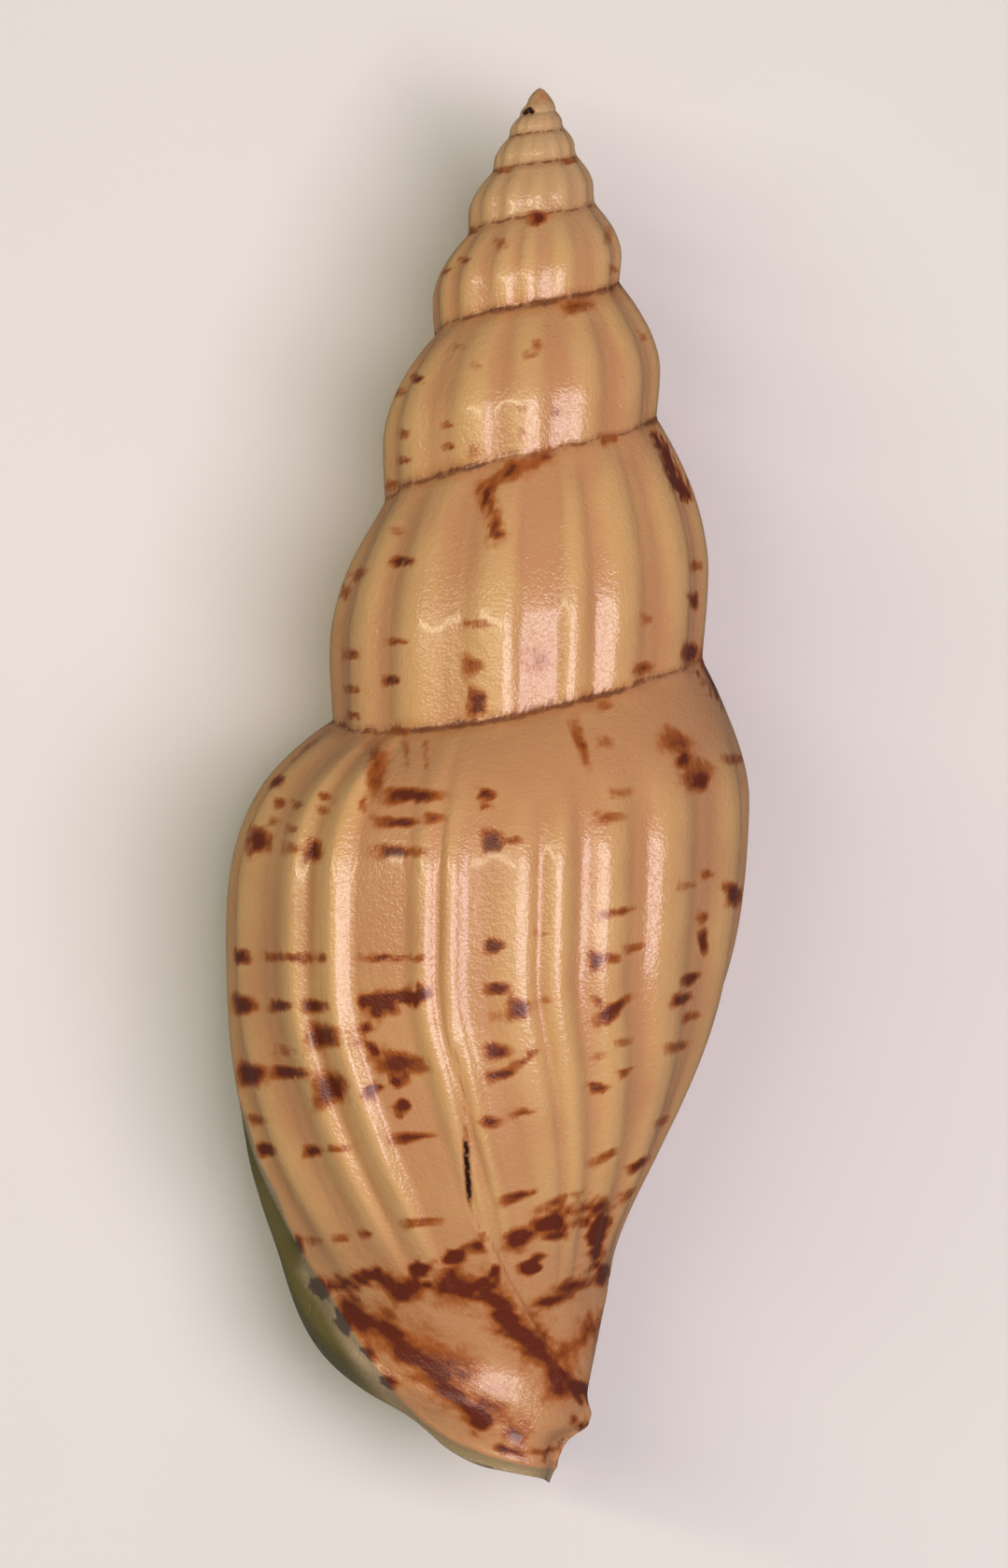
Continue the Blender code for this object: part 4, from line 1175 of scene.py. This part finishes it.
class ShellColours(bpy.types.PropertyGroup):
    """Colours of the shell and of the floor it lies on."""

    groove: colour_property("Groove", "Pinkish peach between the ribs", 0.56, 0.285, 0.13)
    crest: colour_property("Crest", "Yellow cream on the ribs", 0.66, 0.4, 0.17)
    warm: colour_property("Blush", "Warmer orange in clouds and streaks", 0.58, 0.3, 0.11)
    young: colour_property("Apex", "Pale cream of the first whorls", 0.6, 0.4, 0.21)
    # partly the suture's own brown, partly painted shade in the crease where the whorls meet
    seam: colour_property("Suture", "Brown line where whorls meet", 0.17, 0.045, 0.014)
    # painted shadow: the near black inside the open crack and the chip
    crack: colour_property("Crack", "Dark open crack and chip", 0.015, 0.007, 0.005)
    halo: colour_property("Mark edge", "Orange at the edges of the marks", 0.46, 0.16, 0.045)
    rust: colour_property("Mark", "Rusty brown of the marks", 0.35, 0.09, 0.012)
    chestnut: colour_property("Mark centre", "Dark chestnut in the marks", 0.12, 0.016, 0.006)
    # partly the lip's own olive, partly painted shade
    lip: colour_property("Lip", "Olive at the outer edge of the lip", 0.13, 0.11, 0.035)
    # partly the lip's own grey cream, partly a painted highlight beside the lip line
    lip_band_and_highlight: colour_property("Lip band", "Grey cream along the lip's band", 0.39, 0.3, 0.18)
    edge: colour_property("Front edge", "Pale yellow of the front edge", 0.36, 0.27, 0.14)
    bruise: colour_property("Lip mark", "Purple grey of the marks on the lip", 0.05, 0.03, 0.04)
    mouth: colour_property("Mouth", "Pale glaze inside the aperture", 0.68, 0.47, 0.3)
    floor: colour_property("Floor", "Plain pale floor", 0.8, 0.79, 0.78)


class ShellFinish(bpy.types.PropertyGroup):
    """How glossy and how smooth the surface is."""

    roughness: bpy.props.FloatProperty(
        name="Roughness", description="Mean roughness of the glaze", subtype="FACTOR",
        min=0, max=1, default=0.22)
    relief: bpy.props.FloatProperty(
        name="Fine relief", description="Strength of growth lines and orange peel",
        subtype="FACTOR", min=0, max=1, default=1.0)


class SHELL_OT_grow(bpy.types.Operator):
    """Grows the shell, closes it and lays it down on its lip and belly."""

    bl_idname = "volute.grow_shell"
    bl_label = "Grow shell"

    def execute(self, context):
        scene = context.scene
        bpy.ops.object.select_all(action="DESELECT")
        grids = [add_grid(patch) for patch in shell_patches(ShellForm(scene.shell_sizes))]
        for grid in grids:
            grid.select_set(True)
        bpy.ops.object.join()
        shell = context.object
        shell.name = shell.data.name = "volute_shell"
        bpy.ops.object.mode_set(mode="EDIT")
        bpy.ops.mesh.select_all(action="SELECT")
        bpy.ops.mesh.remove_doubles(threshold=WELD * MM)
        bpy.ops.mesh.normals_make_consistent(inside=False)
        if signed_volume(shell) < 0:
            bpy.ops.mesh.flip_normals()
        bpy.ops.object.mode_set(mode="OBJECT")
        bpy.ops.object.shade_smooth()
        rest(shell.data)
        shell.data.materials.clear()
        shell.data.materials.append(shell_material(scene.shell_colours, scene.shell_finish))
        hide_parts("shell")
        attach(shell, "root")
        return {"FINISHED"}


class SHELL_OT_stage(bpy.types.Operator):
    """Sets the floor, the soft lights and the camera that looks down on the shell's back."""

    bl_idname = "volute.set_stage"
    bl_label = "Set stage"

    def execute(self, context):
        scene = context.scene
        bpy.ops.object.select_all(action="DESELECT")
        bpy.ops.mesh.primitive_plane_add(size=FLOOR_SIZE)
        floor = context.object
        floor.name = "floor"
        floor.data.materials.append(floor_material(scene.shell_colours))
        floor.visible_glossy = False
        for name, power, size, place_at, colour in LIGHTS:
            bpy.ops.object.light_add(type="AREA", location=place_at)
            light = context.object
            light.name = name
            light.data.energy, light.data.color = power, colour
            light.data.shape = "RECTANGLE"
            light.data.size, light.data.size_y = size
            light.rotation_euler = (-Vector(place_at)).to_track_quat("-Z", "Y").to_euler()
        world = bpy.data.worlds.new("studio")
        world.use_nodes = True
        background = world.node_tree.nodes["Background"]
        background.inputs["Color"].default_value = WORLD_COLOUR
        background.inputs["Strength"].default_value = WORLD_STRENGTH
        scene.world = world
        scene.view_settings.view_transform = "Standard"
        camera = bpy.data.objects.new("camera", bpy.data.cameras.new("camera"))
        scene.collection.objects.link(camera)
        camera.data.lens = LENS
        distance = LENS / camera.data.sensor_width * FRAME_HEIGHT
        lean = Matrix.Rotation(math.radians(VIEW_LEAN), 4, "Z")
        back = Matrix.Translation((*VIEW_CENTRE, 0)) @ lying() @ lean
        camera.matrix_world = back @ Matrix.Translation((0, 0, distance + MIDDLE_HEIGHT))
        scene.camera = camera
        return {"FINISHED"}


class SHELL_PT_panel(bpy.types.Panel):
    """Sizes, colours and steps of the seashell."""

    bl_label = "Seashell"
    bl_space_type = "VIEW_3D"
    bl_region_type = "UI"
    bl_category = "Seashell"

    def draw(self, context):
        scene = context.scene
        for group in (scene.shell_sizes, scene.shell_colours, scene.shell_finish):
            box = self.layout.box()
            for name in group.bl_rna.properties.keys():
                if name not in ("rna_type", "name"):
                    box.prop(group, name)
        for operator in OPERATORS:
            self.layout.operator(operator.bl_idname)


OPERATORS = (SHELL_OT_grow, SHELL_OT_stage)
CLASSES = (ShellSizes, ShellColours, ShellFinish, *OPERATORS, SHELL_PT_panel)


def register():
    for made in CLASSES:
        bpy.utils.register_class(made)
    bpy.types.Scene.shell_sizes = bpy.props.PointerProperty(type=ShellSizes)
    bpy.types.Scene.shell_colours = bpy.props.PointerProperty(type=ShellColours)
    bpy.types.Scene.shell_finish = bpy.props.PointerProperty(type=ShellFinish)


def unregister():
    del bpy.types.Scene.shell_finish
    del bpy.types.Scene.shell_colours
    del bpy.types.Scene.shell_sizes
    for made in reversed(CLASSES):
        bpy.utils.unregister_class(made)


def main():
    register()
    bpy.ops.volute.grow_shell()
    bpy.ops.volute.set_stage()


if __name__ == "__main__":
    main()
